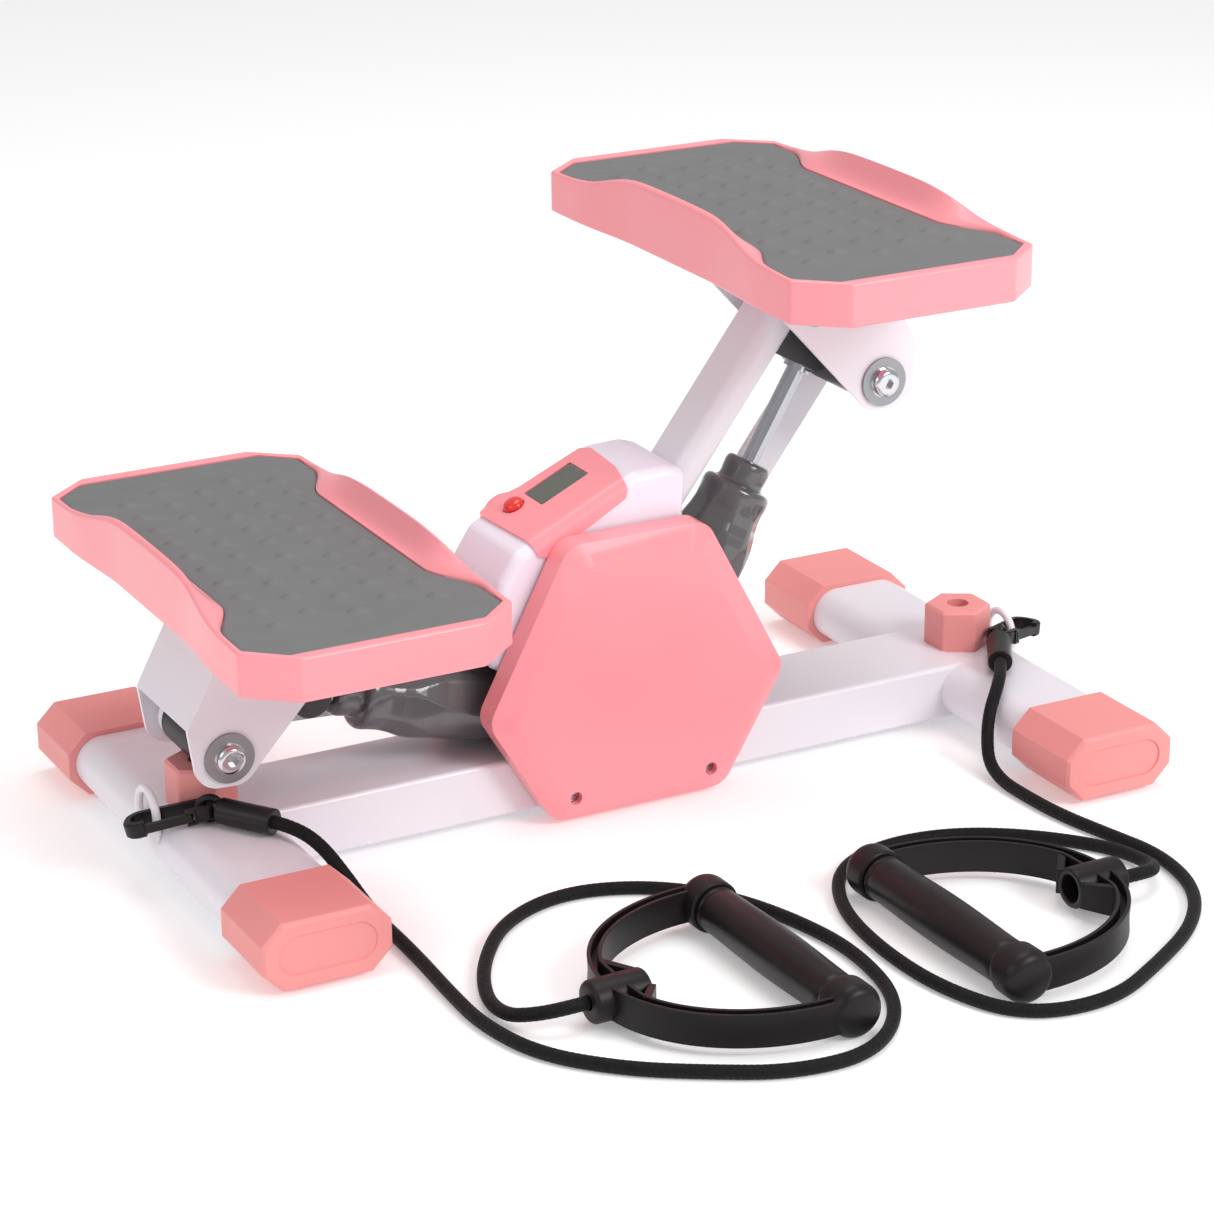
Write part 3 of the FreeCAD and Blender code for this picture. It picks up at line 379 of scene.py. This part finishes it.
WEAVE = woven_material()


def cord_curve(side):
    curve = bpy.data.curves.new("band_" + side, "CURVE")
    curve.dimensions = "3D"
    spline = curve.splines.new("NURBS")
    spline.points.add(len(CORD_ROUTE[side]) - 1)
    for point, place in zip(spline.points, CORD_ROUTE[side]):
        point.co = (place[0] * MM, place[1] * MM, place[2] * MM, 1)
    spline.order_u = 3
    spline.use_endpoint_u = True
    spline.resolution_u = 24
    return curve


def cord_line(side):
    """Points read from the route's own smooth spline."""
    curve = cord_curve(side)
    holder = bpy.data.objects.new("line", curve)
    scene.collection.objects.link(holder)
    graph = bpy.context.evaluated_depsgraph_get()
    mesh = bpy.data.meshes.new_from_object(holder.evaluated_get(graph))
    line = [v.co.copy() for v in mesh.vertices]
    bpy.data.objects.remove(holder)
    return line


def even(line, step):
    """The same line in equal steps."""
    total = sum((b - a).length for a, b in zip(line, line[1:]))
    count = max(2, round(total / step))
    out = [line[0].copy()]
    walked = 0.0
    target = total / count
    for a, b in zip(line, line[1:]):
        span = (b - a).length
        while walked + span >= target - 1e-9 and len(out) < count:
            out.append(a.lerp(b, (target - walked) / span))
            target += total / count
        walked += span
    out.append(line[-1].copy())
    return out


def cord_mesh(side):
    """Tube with a braided relief along the route's spline."""
    line = even(cord_line(side), BRAID_STEP)
    around = 32
    verts, faces = [], []
    normal = Vector((0, 0, 1))
    walked = 0.0
    for i, point in enumerate(line):
        tangent = (line[min(i + 1, len(line) - 1)] - line[max(i - 1, 0)]).normalized()
        normal = (normal - tangent * normal.dot(tangent)).normalized()
        other = tangent.cross(normal)
        if i:
            walked += (point - line[i - 1]).length
        for k in range(around):
            a = 2 * math.pi * k / around
            weave = math.sin(8 * a + walked * BRAID_RATE) * math.sin(8 * a - walked * BRAID_RATE)
            radius = CORD_RADIUS * MM - BRAID_DEPTH * (1 - weave)
            verts.append(point + (normal * math.cos(a) + other * math.sin(a)) * radius)
    for i in range(len(line) - 1):
        for k in range(around):
            n = (k + 1) % around
            faces.append((i * around + k, i * around + n, (i + 1) * around + n, (i + 1) * around + k))
    faces.append(tuple(reversed(range(around))))
    faces.append(tuple(range((len(line) - 1) * around, len(line) * around)))
    mesh = bpy.data.meshes.new("band_" + side)
    mesh.from_pydata([tuple(v) for v in verts], [], faces)
    return mesh, line


# ---------------------------------------------------------------- plain nodes

PLAIN = {
    "white_frame": WHITE, "salmon_plastic": SALMON, "pink_plastic": PINK, "grey_rubber": MAT_GREY,
    "white_plastic": CONSOLE, "bright_steel": ZINC, "rod_chrome": CHROME, "cylinder_grey": CYLINDER,
    "dark_steel": DARK_STEEL, "black_plastic": BLACK, "black_rubber": RUBBER, "band_fabric": WEAVE,
    "bush_brass": BRASS, "button_red": RED, "window_glass": GLASS, "lcd_grey": LCD, "board_green": BOARD,
    "battery_case": CELL,
}
for entry in frame["record"]["subparts"]:
    paint(entry["node"], PLAIN[entry["material_slot"]])


LOWER_BOLT = (48.0, -52.5)
HEAD_RADIUS = 9.1


def fastener_material():
    """Bright bolt heads on dull washers: the tone follows the distance from the nearest bolt axis."""
    mat, tree, shader = principled("pedal_fasteners")
    shader.inputs["Metallic"].default_value = 1.0
    flat = tree.nodes.new("ShaderNodeVectorMath")
    flat.operation = "MULTIPLY"
    flat.inputs[1].default_value = (1, 0, 1)
    tree.links.new(coords(tree), flat.inputs[0])
    nearest = None
    for side, outward in (("left", -1), ("right", 1)):
        centre = Vector(joint("pedal_pivot_" + side)["pos_m"])
        for shift_x, shift_z in ((0, 0), (outward * LOWER_BOLT[0], LOWER_BOLT[1])):
            reach = tree.nodes.new("ShaderNodeVectorMath")
            reach.operation = "DISTANCE"
            reach.inputs[1].default_value = (centre.x + shift_x * MM, 0, centre.z + shift_z * MM)
            tree.links.new(flat.outputs[0], reach.inputs[0])
            value = reach.outputs["Value"]
            if nearest is not None:
                least = tree.nodes.new("ShaderNodeMath")
                least.operation = "MINIMUM"
                tree.links.new(nearest, least.inputs[0])
                tree.links.new(value, least.inputs[1])
                value = least.outputs[0]
            nearest = value
    washer = ramp(tree, nearest, HEAD_RADIUS * MM, (HEAD_RADIUS + 0.5) * MM, 0.0, 1.0)
    tree.links.new(blend_colour(tree, washer, srgb(206, 206, 210), srgb(156, 156, 159)),
                   shader.inputs["Base Color"])
    tree.links.new(ramp(tree, washer, 0.0, 1.0, 0.16, 0.36), shader.inputs["Roughness"])
    bump(tree, shader, noise(tree, 1400, 2), 0.12, 0.00003)
    return mat


FASTENERS = fastener_material()
for side in ("left", "right"):
    paint("pedal_fasteners_" + side, FASTENERS)

EDGE_ROUNDING = {
    "base_beam": 1.0, "end_caps_left": 1.2, "end_caps_right": 1.2, "bumper_left": 0.8, "bumper_right": 0.8,
    "front_cover": 1.2, "rear_cover": 1.2, "pedal_bracket_left": 1.2, "pedal_bracket_right": 1.2,
    "console_shell": 0.6, "snap_hook_left": 0.8, "snap_hook_right": 0.8, "hook_gate_left": 0.5,
    "hook_gate_right": 0.5,
}
for node, width in EDGE_ROUNDING.items():
    refined(node, PLAIN[slot_name(node)], width)

# ---------------------------------------------------------------- pedals

HALF_WIDTH = 81.0
HALF_LENGTH = 168.0
SKIRT = 28.0
ROOF = 46.0
FLOOR = 49.0
RIM = 53.4
WING = 68.2
WING_LINE = [(0, WING), (30, 68.0), (46, 67.5), (58, 66.0), (70, 63.6), (80, 60.7), (90, 57.9), (100, 56.0),
             (112, 54.9), (126, 54.0), (140, RIM)]
MAT_TOP = 52.5
MAT_HALF_LENGTH = 159.0
MAT_HALF_WIDTH = 77.0
MAT_CORNER_Y = 141.0
SIDE_STEPS = 96
CORNER_STEPS = 5


def pedal_centre(side):
    return Vector(joint("pedal_pivot_" + side)["pos_m"]) / MM


def corner_arc(before, corner, after, radius):
    """Points of the round in a corner of a plan outline."""
    back, ahead = (before - corner).normalized(), (after - corner).normalized()
    half = back.angle(ahead) / 2
    start, end = corner + back * radius / math.tan(half), corner + ahead * radius / math.tan(half)
    middle = corner + (back + ahead).normalized() * radius / math.sin(half)
    out = []
    for k in range(CORNER_STEPS + 1):
        t = k / CORNER_STEPS
        spoke = (start - middle).lerp(end - middle, t).normalized() * radius
        out.append(middle + spoke)
    return out


def plan(width, waist, side_end, end_width, length, radius):
    """Outline anticlockwise from the +X side; waist(y) narrows the long sides."""
    points = []
    for turn in (1, -1):
        side = [Vector((turn * width, -turn * side_end)), Vector((turn * width, turn * side_end)),
                Vector((turn * end_width, turn * length)), Vector((-turn * end_width, turn * length)),
                Vector((-turn * width, turn * side_end))]
        for k in range(SIDE_STEPS + 1):
            y = (-side_end + radius + 2 * (side_end - radius) * k / SIDE_STEPS) * turn
            points.append(Vector((turn * (width - waist(y)), y)))
        points.extend(corner_arc(side[0], side[1], side[2], radius))
        points.extend(corner_arc(side[1], side[2], side[3], radius))
        points.extend(corner_arc(side[2], side[3], side[4], radius))
        points.extend(corner_arc(side[3], side[4], side[4] + Vector((0, -turn * 10)), radius))
    return points


def inward(points):
    out = []
    for i, point in enumerate(points):
        along = (points[(i + 1) % len(points)] - points[i - 1]).normalized()
        out.append(Vector((-along.y, along.x)))
    return out


def outer_waist(y):
    return 4.5 * smooth_step(-abs(y), -118, -44)


def mat_waist(y):
    return 16.0 * smooth_step(-abs(y), -118, -72)


def tray_mesh(side):
    outer = plan(HALF_WIDTH, outer_waist, HALF_LENGTH - 23, HALF_WIDTH - 27, HALF_LENGTH, 4.0)
    recess = plan(77.3, mat_waist, 141.0, 57.2, 159.3, 4.0)
    normal = inward(outer)
    rings = []

    def ring(inset, height):
        rings.append([(p.x + n.x * inset, p.y + n.y * inset, height) for p, n in zip(outer, normal)])

    crest = [interpolate(WING_LINE, abs(p.y)) if abs(p.x) > HALF_WIDTH - 8 else RIM for p in outer]
    for _ in range(10):
        crest = [(crest[i - 1] + 2 * top + crest[(i + 1) % len(crest)]) / 4 for i, top in enumerate(crest)]
    ring(3.0, ROOF)
    ring(3.0, SKIRT + 0.4)
    ring(2.6, SKIRT)
    ring(0.8, SKIRT)
    ring(0.0, SKIRT + 0.8)
    ring(0.0, SKIRT + 14)
    lip = [1.7 + 1.7 * (top - RIM) / (WING - RIM) for top in crest]
    for k in range(9):
        a = math.pi / 2 * k / 8
        rings.append([(p.x + n.x * r * (1 - math.cos(a)), p.y + n.y * r * (1 - math.cos(a)),
                       top - r * (1 - math.sin(a)))
                      for p, n, r, top in zip(outer, normal, lip, crest)])
    last = rings[-1]
    for k in range(1, 11):
        t = k / 10
        row = []
        for (x, y, z), edge, top in zip(last, recess, crest):
            rise = (top - RIM) / (WING - RIM)
            sink = (1 - rise) * t ** 3 + rise * (1 - (1 - t) ** 2.3 * (1 + 0.9 * t))
            low = RIM - 0.5
            row.append((x + (edge.x - x) * t, y + (edge.y - y) * t, top + (low - top) * min(1.0, sink)))
        rings.append(row)
    rings.append([(p.x, p.y, FLOOR) for p in recess])
    shape = loft(rings)
    middle = pedal_centre(side)
    return mesh_from("tray_" + side, *placed(shape, lambda v: (v[0] + middle.x, v[1], v[2] + middle.z)))


STUD_COLUMNS = ((-49, 9), (-25, -4), (-2, 9), (22, -4), (46, 9))
STUD_PITCH = 25.0
STUD_HALF_WIDTH = 6.6
STUD_HALF_LENGTH = 5.6
STUD_HEIGHT = 2.4
STUDS_END = 126.0


def stud(x, y, flip):
    """Soft raised ovals in staggered columns."""
    height = 0.0
    for column, phase in STUD_COLUMNS:
        dx = (x * flip - column) / STUD_HALF_WIDTH
        if abs(dx) > 1:
            continue
        off_centre = (y - phase + STUD_PITCH / 2) % STUD_PITCH - STUD_PITCH / 2
        reach = dx * dx + (off_centre / STUD_HALF_LENGTH) ** 2
        if reach < 1 and abs(y - off_centre) < STUDS_END:
            height = max(height, (1 - reach) ** 1.2)
    return height


def mat_half_width(y):
    wide = MAT_HALF_WIDTH - mat_waist(y)
    if abs(y) <= MAT_CORNER_Y:
        return wide
    return min(wide, MAT_HALF_WIDTH - (abs(y) - MAT_CORNER_Y) * 20.0 / 18.0)


def mat_mesh(side):
    """Studded top on a mapped grid with a rounded edge."""
    flip = 1 if side == "right" else -1
    middle = pedal_centre(side)
    rows, columns = 236, 112
    verts, faces = [], []
    for j in range(rows + 1):
        v = -1 + 2 * j / rows
        y = MAT_HALF_LENGTH * v
        half = mat_half_width(y)
        for i in range(columns + 1):
            u = -1 + 2 * i / columns
            x = half * u
            edge = min((1 - abs(u)) * half, (1 - abs(v)) * MAT_HALF_LENGTH)
            drop = 0.9 * max(0.0, 1 - edge / 1.6) ** 2
            top = MAT_TOP - drop + STUD_HEIGHT * stud(x, y, flip)
            verts.append((x + middle.x, y, middle.z + top))
    width = columns + 1
    for j in range(rows):
        for i in range(columns):
            a = j * width + i
            faces.append((a, a + 1, a + width + 1, a + width))
    loop = list(range(width))
    loop += [j * width + columns for j in range(1, rows + 1)]
    loop += [rows * width + i for i in range(columns - 1, -1, -1)]
    loop += [j * width for j in range(rows - 1, 0, -1)]
    base = len(verts)
    verts.extend((verts[i][0], verts[i][1], middle.z + FLOOR) for i in loop)
    for k in range(len(loop)):
        n = (k + 1) % len(loop)
        faces.append((loop[k], loop[n], base + n, base + k))
    faces.append(tuple(base + k for k in range(len(loop))))
    return mesh_from("mat_" + side, verts, faces)


for side in ("left", "right"):
    shade(add_piece("tray_" + side, tray_mesh(side), PINK, "pedal_tray_" + side), 42)
    shade(add_piece("mat_" + side, mat_mesh(side), MAT_GREY, "pedal_mat_" + side), 50)

# ---------------------------------------------------------------- dampers

CYLINDER_OUTER = [(6, 9.5), (14, 11), (20, 15), (30, 19), (48, 24.2), (60, 25.6), (96, 25.6), (104, 25.2),
                  (111, 23.9), (117, 22.3), (123, 21.4), (129, 21.4), (134, 21.7), (136.5, 21.4),
                  (138.2, 20.4), (139.2, 18.9), (139.6, 17.0), (140.0, 15.2), (141, 14.3), (143, 14.1),
                  (146, 14.4), (150.5, 14.6), (153, 14.0), (154.5, 12.7), (155, 11.0), (155, 5.8)]
CYLINDER_INNER = [(136, 5.8), (136, 13.0), (50, 13.0), (50, 0.05), (8, 0.05)]


def octagon(angle, phase):
    step = math.pi / 4
    return math.cos(step / 2) / math.cos((angle + phase) % step - step / 2)


def faceted(along, radius, angle):
    """Long facets on the barrel: two sets, half a facet apart, that meet in a zigzag."""
    if radius < 14.6 or along < 30 or along > 136:
        return radius
    lower = octagon(angle, 0.0) * (1.032 + 0.06 * min(1.0, max(0.0, (along - 90) / 22)))
    upper = octagon(angle, math.pi / 8) * (1.092 - 0.06 * min(1.0, max(0.0, (along - 88) / 22)))
    depth = smooth_step(along, 30, 48) * (1 - smooth_step(along, 122, 131))
    return radius * (1 - depth + depth * min(1.0, lower, upper))


def fine(profile, step):
    out = []
    for (x0, r0), (x1, r1) in zip(profile, profile[1:]):
        count = max(1, round(math.hypot(x1 - x0, r1 - r0) / step))
        out.extend((x0 + (x1 - x0) * k / count, r0 + (r1 - r0) * k / count) for k in range(count))
    return out + [profile[-1]]


def damper_place(side):
    """From a damper's own axes, +X along the rod, to the world."""
    foot = Vector(joint("cylinder_pivot_" + side)["pos_m"]) / MM
    along = Vector(joint("rod_slide_" + side)["axis"]).normalized()
    if along.z < 0:
        along = -along
    up = along.cross(Vector((0, 1, 0)))

    def place(v):
        point = foot + along * v[0] + Vector((0, v[1], 0)) + up * v[2]
        return tuple(point)

    return place


def eye(radius, bore, half, corner=1.2):
    """Ring about Y with rounded rims."""
    section = [(bore, -half), (radius - corner, -half), (radius, -half + corner), (radius, half - corner),
               (radius - corner, half), (bore, half)]
    rings = []
    for i in range(40):
        a = 2 * math.pi * i / 40
        rings.append([(r * math.cos(a), y, r * math.sin(a)) for r, y in section])
    return loft(rings, closed=True)


for side in ("left", "right"):
    outside = fine(CYLINDER_OUTER[:-1], 0.9) + [CYLINDER_OUTER[-1]]
    shape = merge([revolve(outside + CYLINDER_INNER, 160, faceted), eye(11.0, 5.05, 11.0)])
    mesh = mesh_from("cylinder_" + side, *placed(shape, damper_place(side)))
    shade(add_piece("cylinder_" + side, mesh, CYLINDER, "cylinder_body_" + side), 30)

# ---------------------------------------------------------------- console

TILT = math.radians(25.0)
AXLE_Z = joint("rocker_swing")["pos_m"][2] / MM
BEZEL = [(-37, 31, 4), (-27, 33.5, 5), (-17, 33, 8), (-8, 30, 8), (37, 28, 5), (41, 20, 6), (38.5, -15, 8),
         (33, -35.5, 5), (29, -39.3, 3), (-28, -43.2, 3), (-34, -39.3, 4)]
BUTTON_AT = Vector((-20.0, 14.0))
SHELL_TOP = 70.5


def console_place(v):
    x, y, z = v
    return (x * math.cos(TILT) - z * math.sin(TILT), y, AXLE_Z + x * math.sin(TILT) + z * math.cos(TILT))


def rounded_outline(corners, steps=6):
    out = []
    for i, (x, y, radius) in enumerate(corners):
        before, after = corners[i - 1], corners[(i + 1) % len(corners)]
        corner = Vector((x, y))
        back = (Vector(before[:2]) - corner).normalized()
        ahead = (Vector(after[:2]) - corner).normalized()
        half = back.angle(ahead) / 2
        reach = min(radius / math.tan(half), 0.45 * (Vector(before[:2]) - corner).length,
                    0.45 * (Vector(after[:2]) - corner).length)
        start, end = corner + back * reach, corner + ahead * reach
        for k in range(steps + 1):
            t = k / steps
            out.append(start * (1 - t) ** 2 + corner * 2 * t * (1 - t) + end * t * t)
    return out


def draped(y):
    """Where a point of the flat pattern lies: flat on top, then bent down over the front edge."""
    bend_at, radius, slope = -27.0, 7.0, math.radians(90)
    if y >= bend_at:
        return y, 0.0
    reach = bend_at - y
    turn = min(reach / radius, slope)
    rest = reach - turn * radius
    along = radius * math.sin(turn) + rest * math.cos(turn)
    down = radius * (1 - math.cos(turn)) + rest * math.sin(turn)
    return bend_at - along, -down


def bezel_piece():
    outline = rounded_outline(BEZEL)
    bm = bmesh.new()
    bm.faces.new([bm.verts.new((p.x, p.y, 0)) for p in outline])
    for y in (-26.9, -28.5, -30, -31.5, -33, -34.5, -36, -37.9):
        bmesh.ops.bisect_plane(bm, geom=bm.verts[:] + bm.edges[:] + bm.faces[:], plane_co=(0, y, 0),
                               plane_no=(0, 1, 0))
    extruded = bmesh.ops.extrude_face_region(bm, geom=bm.faces[:])
    top = {v for v in extruded["geom"] if isinstance(v, bmesh.types.BMVert)}
    for v in bm.verts:
        y, z = draped(v.co.y)
        if v in top:
            next_y, next_z = draped(v.co.y - 0.1)
            outward = Vector((next_z - z, y - next_y)).normalized()
            thick = 2.3 - 0.6 * smooth_step(-v.co.y, 27, 38)
            y += thick * outward.x
            z += thick * outward.y
        v.co = console_place((v.co.x, y, SHELL_TOP - 0.4 + z))
        v.co *= MM
    bmesh.ops.recalc_face_normals(bm, faces=bm.faces)
    mesh = bpy.data.meshes.new("bezel")
    bm.to_mesh(mesh)
    bm.free()
    piece = add_piece("bezel", mesh, PINK, "display_bezel")
    hole_parts = []
    window = [(-9.2, -4.2, 1.2), (25.2, -4.2, 1.2), (25.2, 20.2, 1.2), (-9.2, 20.2, 1.2)]
    key_hole = [BUTTON_AT + Vector((math.cos(a), math.sin(a))) * 7.0
                for a in (2 * math.pi * k / 40 for k in range(40))]
    for hole in (rounded_outline(window, 4), key_hole):
        hole_parts.append(loft([[(p.x, p.y, z) for p in hole] for z in (60.0, 80.0)]))
    cutter_mesh = mesh_from("bezel_cutter", *placed(merge(hole_parts), console_place))
    cutter = bpy.data.objects.new("bezel_cutter", cutter_mesh)
    scene.collection.objects.link(cutter)
    cut = piece.modifiers.new("holes", "BOOLEAN")
    cut.operation = "DIFFERENCE"
    cut.solver = "EXACT"
    cut.object = cutter
    apply_modifiers(piece)
    bpy.data.objects.remove(cutter)
    return soften(piece, 0.55, 3, 35)


bezel_piece()


def window_pane():
    """Clear pane that sits a little below the face of the bezel."""
    rings = []
    for inset, z in ((0.0, 71.1), (0.0, 71.5), (0.4, 71.9)):
        corners = [(-9 + inset, -4 + inset, 1), (25 - inset, -4 + inset, 1), (25 - inset, 20 - inset, 1),
                   (-9 + inset, 20 - inset, 1)]
        rings.append([(p.x, p.y, z) for p in rounded_outline(corners, 4)])
    mesh = mesh_from("pane", *placed(loft(rings), console_place))
    shade(add_piece("pane", mesh, GLASS, "lcd_window"), 30)


window_pane()


def dome_button():
    """Low domed key on its stem."""
    profile = [(64.0, 3.0), (72.5, 3.0), (72.5, 6.4), (73.4, 6.4)]
    for k in range(1, 12):
        a = math.pi / 2 * k / 12
        profile.append((73.4 + 3.4 * math.sin(a), 6.4 * math.cos(a) ** 0.8))
    profile += [(76.8, 0.05), (64.0, 0.05)]
    verts, faces = revolve(profile, 48)
    turned = [(BUTTON_AT.x + v[1], BUTTON_AT.y + v[2], v[0]) for v in verts]
    mesh = mesh_from("button", *placed((turned, faces), console_place))
    shade(add_piece("button_dome", mesh, RED, "mode_button"), 40)


dome_button()

# ---------------------------------------------------------------- handles

HANDLES = {"left": (-43.0, -287.0, 1.3), "right": (59.0, -297.5, 180.7)}
HANDLE_Z = 15.5
REACH = 93.5
HALF_SPAN = 81.5
BEND_X = -14.0
STRAP_END_X = 3.0
STRAP_HALF_HEIGHT = 9.6


def handle_place(side):
    x, y, angle = HANDLES[side]
    cos_a = math.cos(math.radians(angle))
    sin_a = math.sin(math.radians(angle))
    return lambda v: (x + v[0] * cos_a - v[1] * sin_a, y + v[0] * sin_a + v[1] * cos_a, HANDLE_Z + v[2])


def strap():
    """D-shaped strap: two walls joined by a web, open groove above and below."""
    path = []
    for k in range(5):
        x = STRAP_END_X - (STRAP_END_X - BEND_X) * k / 5
        path.append((Vector((x, -HALF_SPAN)), Vector((0, 1))))
    for k in range(73):
        a = -math.pi / 2 - math.pi * k / 72
        point = Vector((BEND_X + REACH * math.cos(a), HALF_SPAN * math.sin(a)))
        slope = Vector((math.cos(a) * HALF_SPAN, math.sin(a) * REACH)).normalized()
        path.append((point, -slope))
    for k in range(4, -1, -1):
        x = STRAP_END_X - (STRAP_END_X - BEND_X) * k / 5
        path.append((Vector((x, HALF_SPAN)), Vector((0, -1))))
    rings = []
    for i, (point, inside) in enumerate(path):
        thick = 8.2 + 3.0 * smooth_step(-abs(point.y), -30, -10)
        tall = STRAP_HALF_HEIGHT
        wall = 2.3
        section = [(0, -tall), (0.5, 0), (0, tall), (wall, tall), (wall, 3.0), (thick - wall, 3.0),
                   (thick - wall, tall), (thick, tall), (thick, -tall), (thick - wall, -tall),
                   (thick - wall, -3.0), (wall, -3.0), (wall, -tall)]
        rings.append([(point.x + inside.x * d, point.y + inside.y * d, z) for d, z in section])
    return loft(rings)


def hub():
    """Barrel that the band runs into, hollow at its inner end."""
    profile = [(-117, 4.2), (-117, 9.6), (-116.2, 11.2), (-114.8, 12.0), (-97, 12.2), (-84.5, 12.0),
               (-83, 11.0), (-83, 8.6), (-84, 8.0), (-106, 7.6), (-106, 4.2)]
    return revolve(profile, 48)


def gussets():
    """Walls that run from the strap to the mouth of the barrel."""
    parts = []
    for turn in (-1, 1):
        outline = [(-97.5, turn * 24, 9.2), (-94, turn * 27, 9.2), (-82, turn * 11.6, 7.5),
                   (-85, turn * 8.4, 7.5)]
        parts.append(loft([[(x, y, up * z) for x, y, z in outline] for up in (-1, 1)]))
    return merge(parts)


def end_drum(turn):
    """Round end that closes the grip and takes the strap."""
    profile = [(64.6, 6.0), (64.6, 14.4), (65.6, 15.4), (70, 15.5)]
    for k in range(9):
        a = math.pi / 2 * k / 8
        profile.append((76 + 7.5 * math.sin(a), 9.5 + 6.0 * math.cos(a)))
    profile += [(84.2, 6.0), (84.4, 0.05), (64.6, 0.05)]
    verts, faces = revolve(profile, 56)
    return [(v[1], turn * v[0], v[2]) for v in verts], faces


def grip():
    profile = [(-64, 6.4), (-64, 12.4), (-63, 13.3), (-61.5, 13.3), (-60.8, 12.9), (-60, 13.3)]
    profile += [(y, 13.3 + 1.15 * math.cos(math.pi * y / 128) ** 2) for y in range(-56, 57, 4)]
    profile += [(60, 13.3), (60.8, 12.9), (61.5, 13.3), (63, 13.3), (64, 12.4), (64, 6.4)]
    verts, faces = revolve(profile, 64)
    return [(v[1], v[0], v[2]) for v in verts], faces


def core_bar():
    verts, faces = revolve([(-66, 0.05), (-66, 6.0), (66, 6.0), (66, 0.05)], 32)
    return [(v[1], v[0], v[2]) for v in verts], faces


for side in ("left", "right"):
    place = handle_place(side)
    shape = merge([strap(), hub(), gussets(), end_drum(1), end_drum(-1), core_bar()])
    frame_mesh = mesh_from("handle_" + side, *placed(shape, place))
    soften(add_piece("handle_" + side, frame_mesh, BLACK, "handle_frame_" + side), 0.45, 2, 40)
    grip_mesh = mesh_from("grip_" + side, *placed(grip(), place))
    shade(add_piece("grip_" + side, grip_mesh, RUBBER, "handle_grip_" + side), 40)

# ---------------------------------------------------------------- band pieces

for side in ("left", "right"):
    mesh, line = cord_mesh(side)
    band = add_piece("band_" + side, mesh, WEAVE, "band_cord_" + side)
    shade(band, 60)
    middle_line = [tuple(p) for p in line[::6]] + [tuple(line[-1])]

# ---------------------------------------------------------------- stage


FLOOR_REACH = 14.0


def studio():
    mat, tree, shader = principled("studio_floor")
    shader.inputs["Roughness"].default_value = 0.9
    shader.inputs["Specular IOR Level"].default_value = 0.1
    shader.inputs["Emission Color"].default_value = (1, 1, 1, 1)
    shader.inputs["Emission Strength"].default_value = 0.24
    tree.links.new(blend_colour(tree, noise(tree, 0.6, 2), (0.88, 0.88, 0.88), (0.92, 0.92, 0.92)),
                   shader.inputs["Base Color"])
    mesh = bpy.data.meshes.new("floor")
    reach = FLOOR_REACH
    mesh.from_pydata([(-reach, -reach, 0), (reach, -reach, 0), (reach, reach, 0), (-reach, reach, 0)], [],
                     [(0, 1, 2, 3)])
    mesh.materials.append(mat)
    floor = bpy.data.objects.new("floor", mesh)
    scene.collection.objects.link(floor)


studio()
world = bpy.data.worlds.new("studio")
scene.world = world
world.use_nodes = True
world.node_tree.nodes["Background"].inputs["Color"].default_value = (1, 1, 1, 1)
world.node_tree.nodes["Background"].inputs["Strength"].default_value = 0.54


def lamp(name, place, target, size, power):
    data = bpy.data.lights.new(name, "AREA")
    data.shape = "SQUARE"
    data.size = size
    data.energy = power
    holder = bpy.data.objects.new(name, data)
    holder.location = place
    aim = Vector(target) - Vector(place)
    holder.rotation_euler = aim.to_track_quat("-Z", "Y").to_euler()
    scene.collection.objects.link(holder)


lamp("key", (1.0, -2.2, 1.7), (0, 0, 0.1), 1.1, 41)
lamp("side", (-2.0, -0.4, 1.2), (0, 0, 0.1), 1.0, 7)
lamp("top", (0.3, 0.3, 2.6), (0, 0, 0.1), 1.6, 24)
scene.view_settings.view_transform = "Standard"
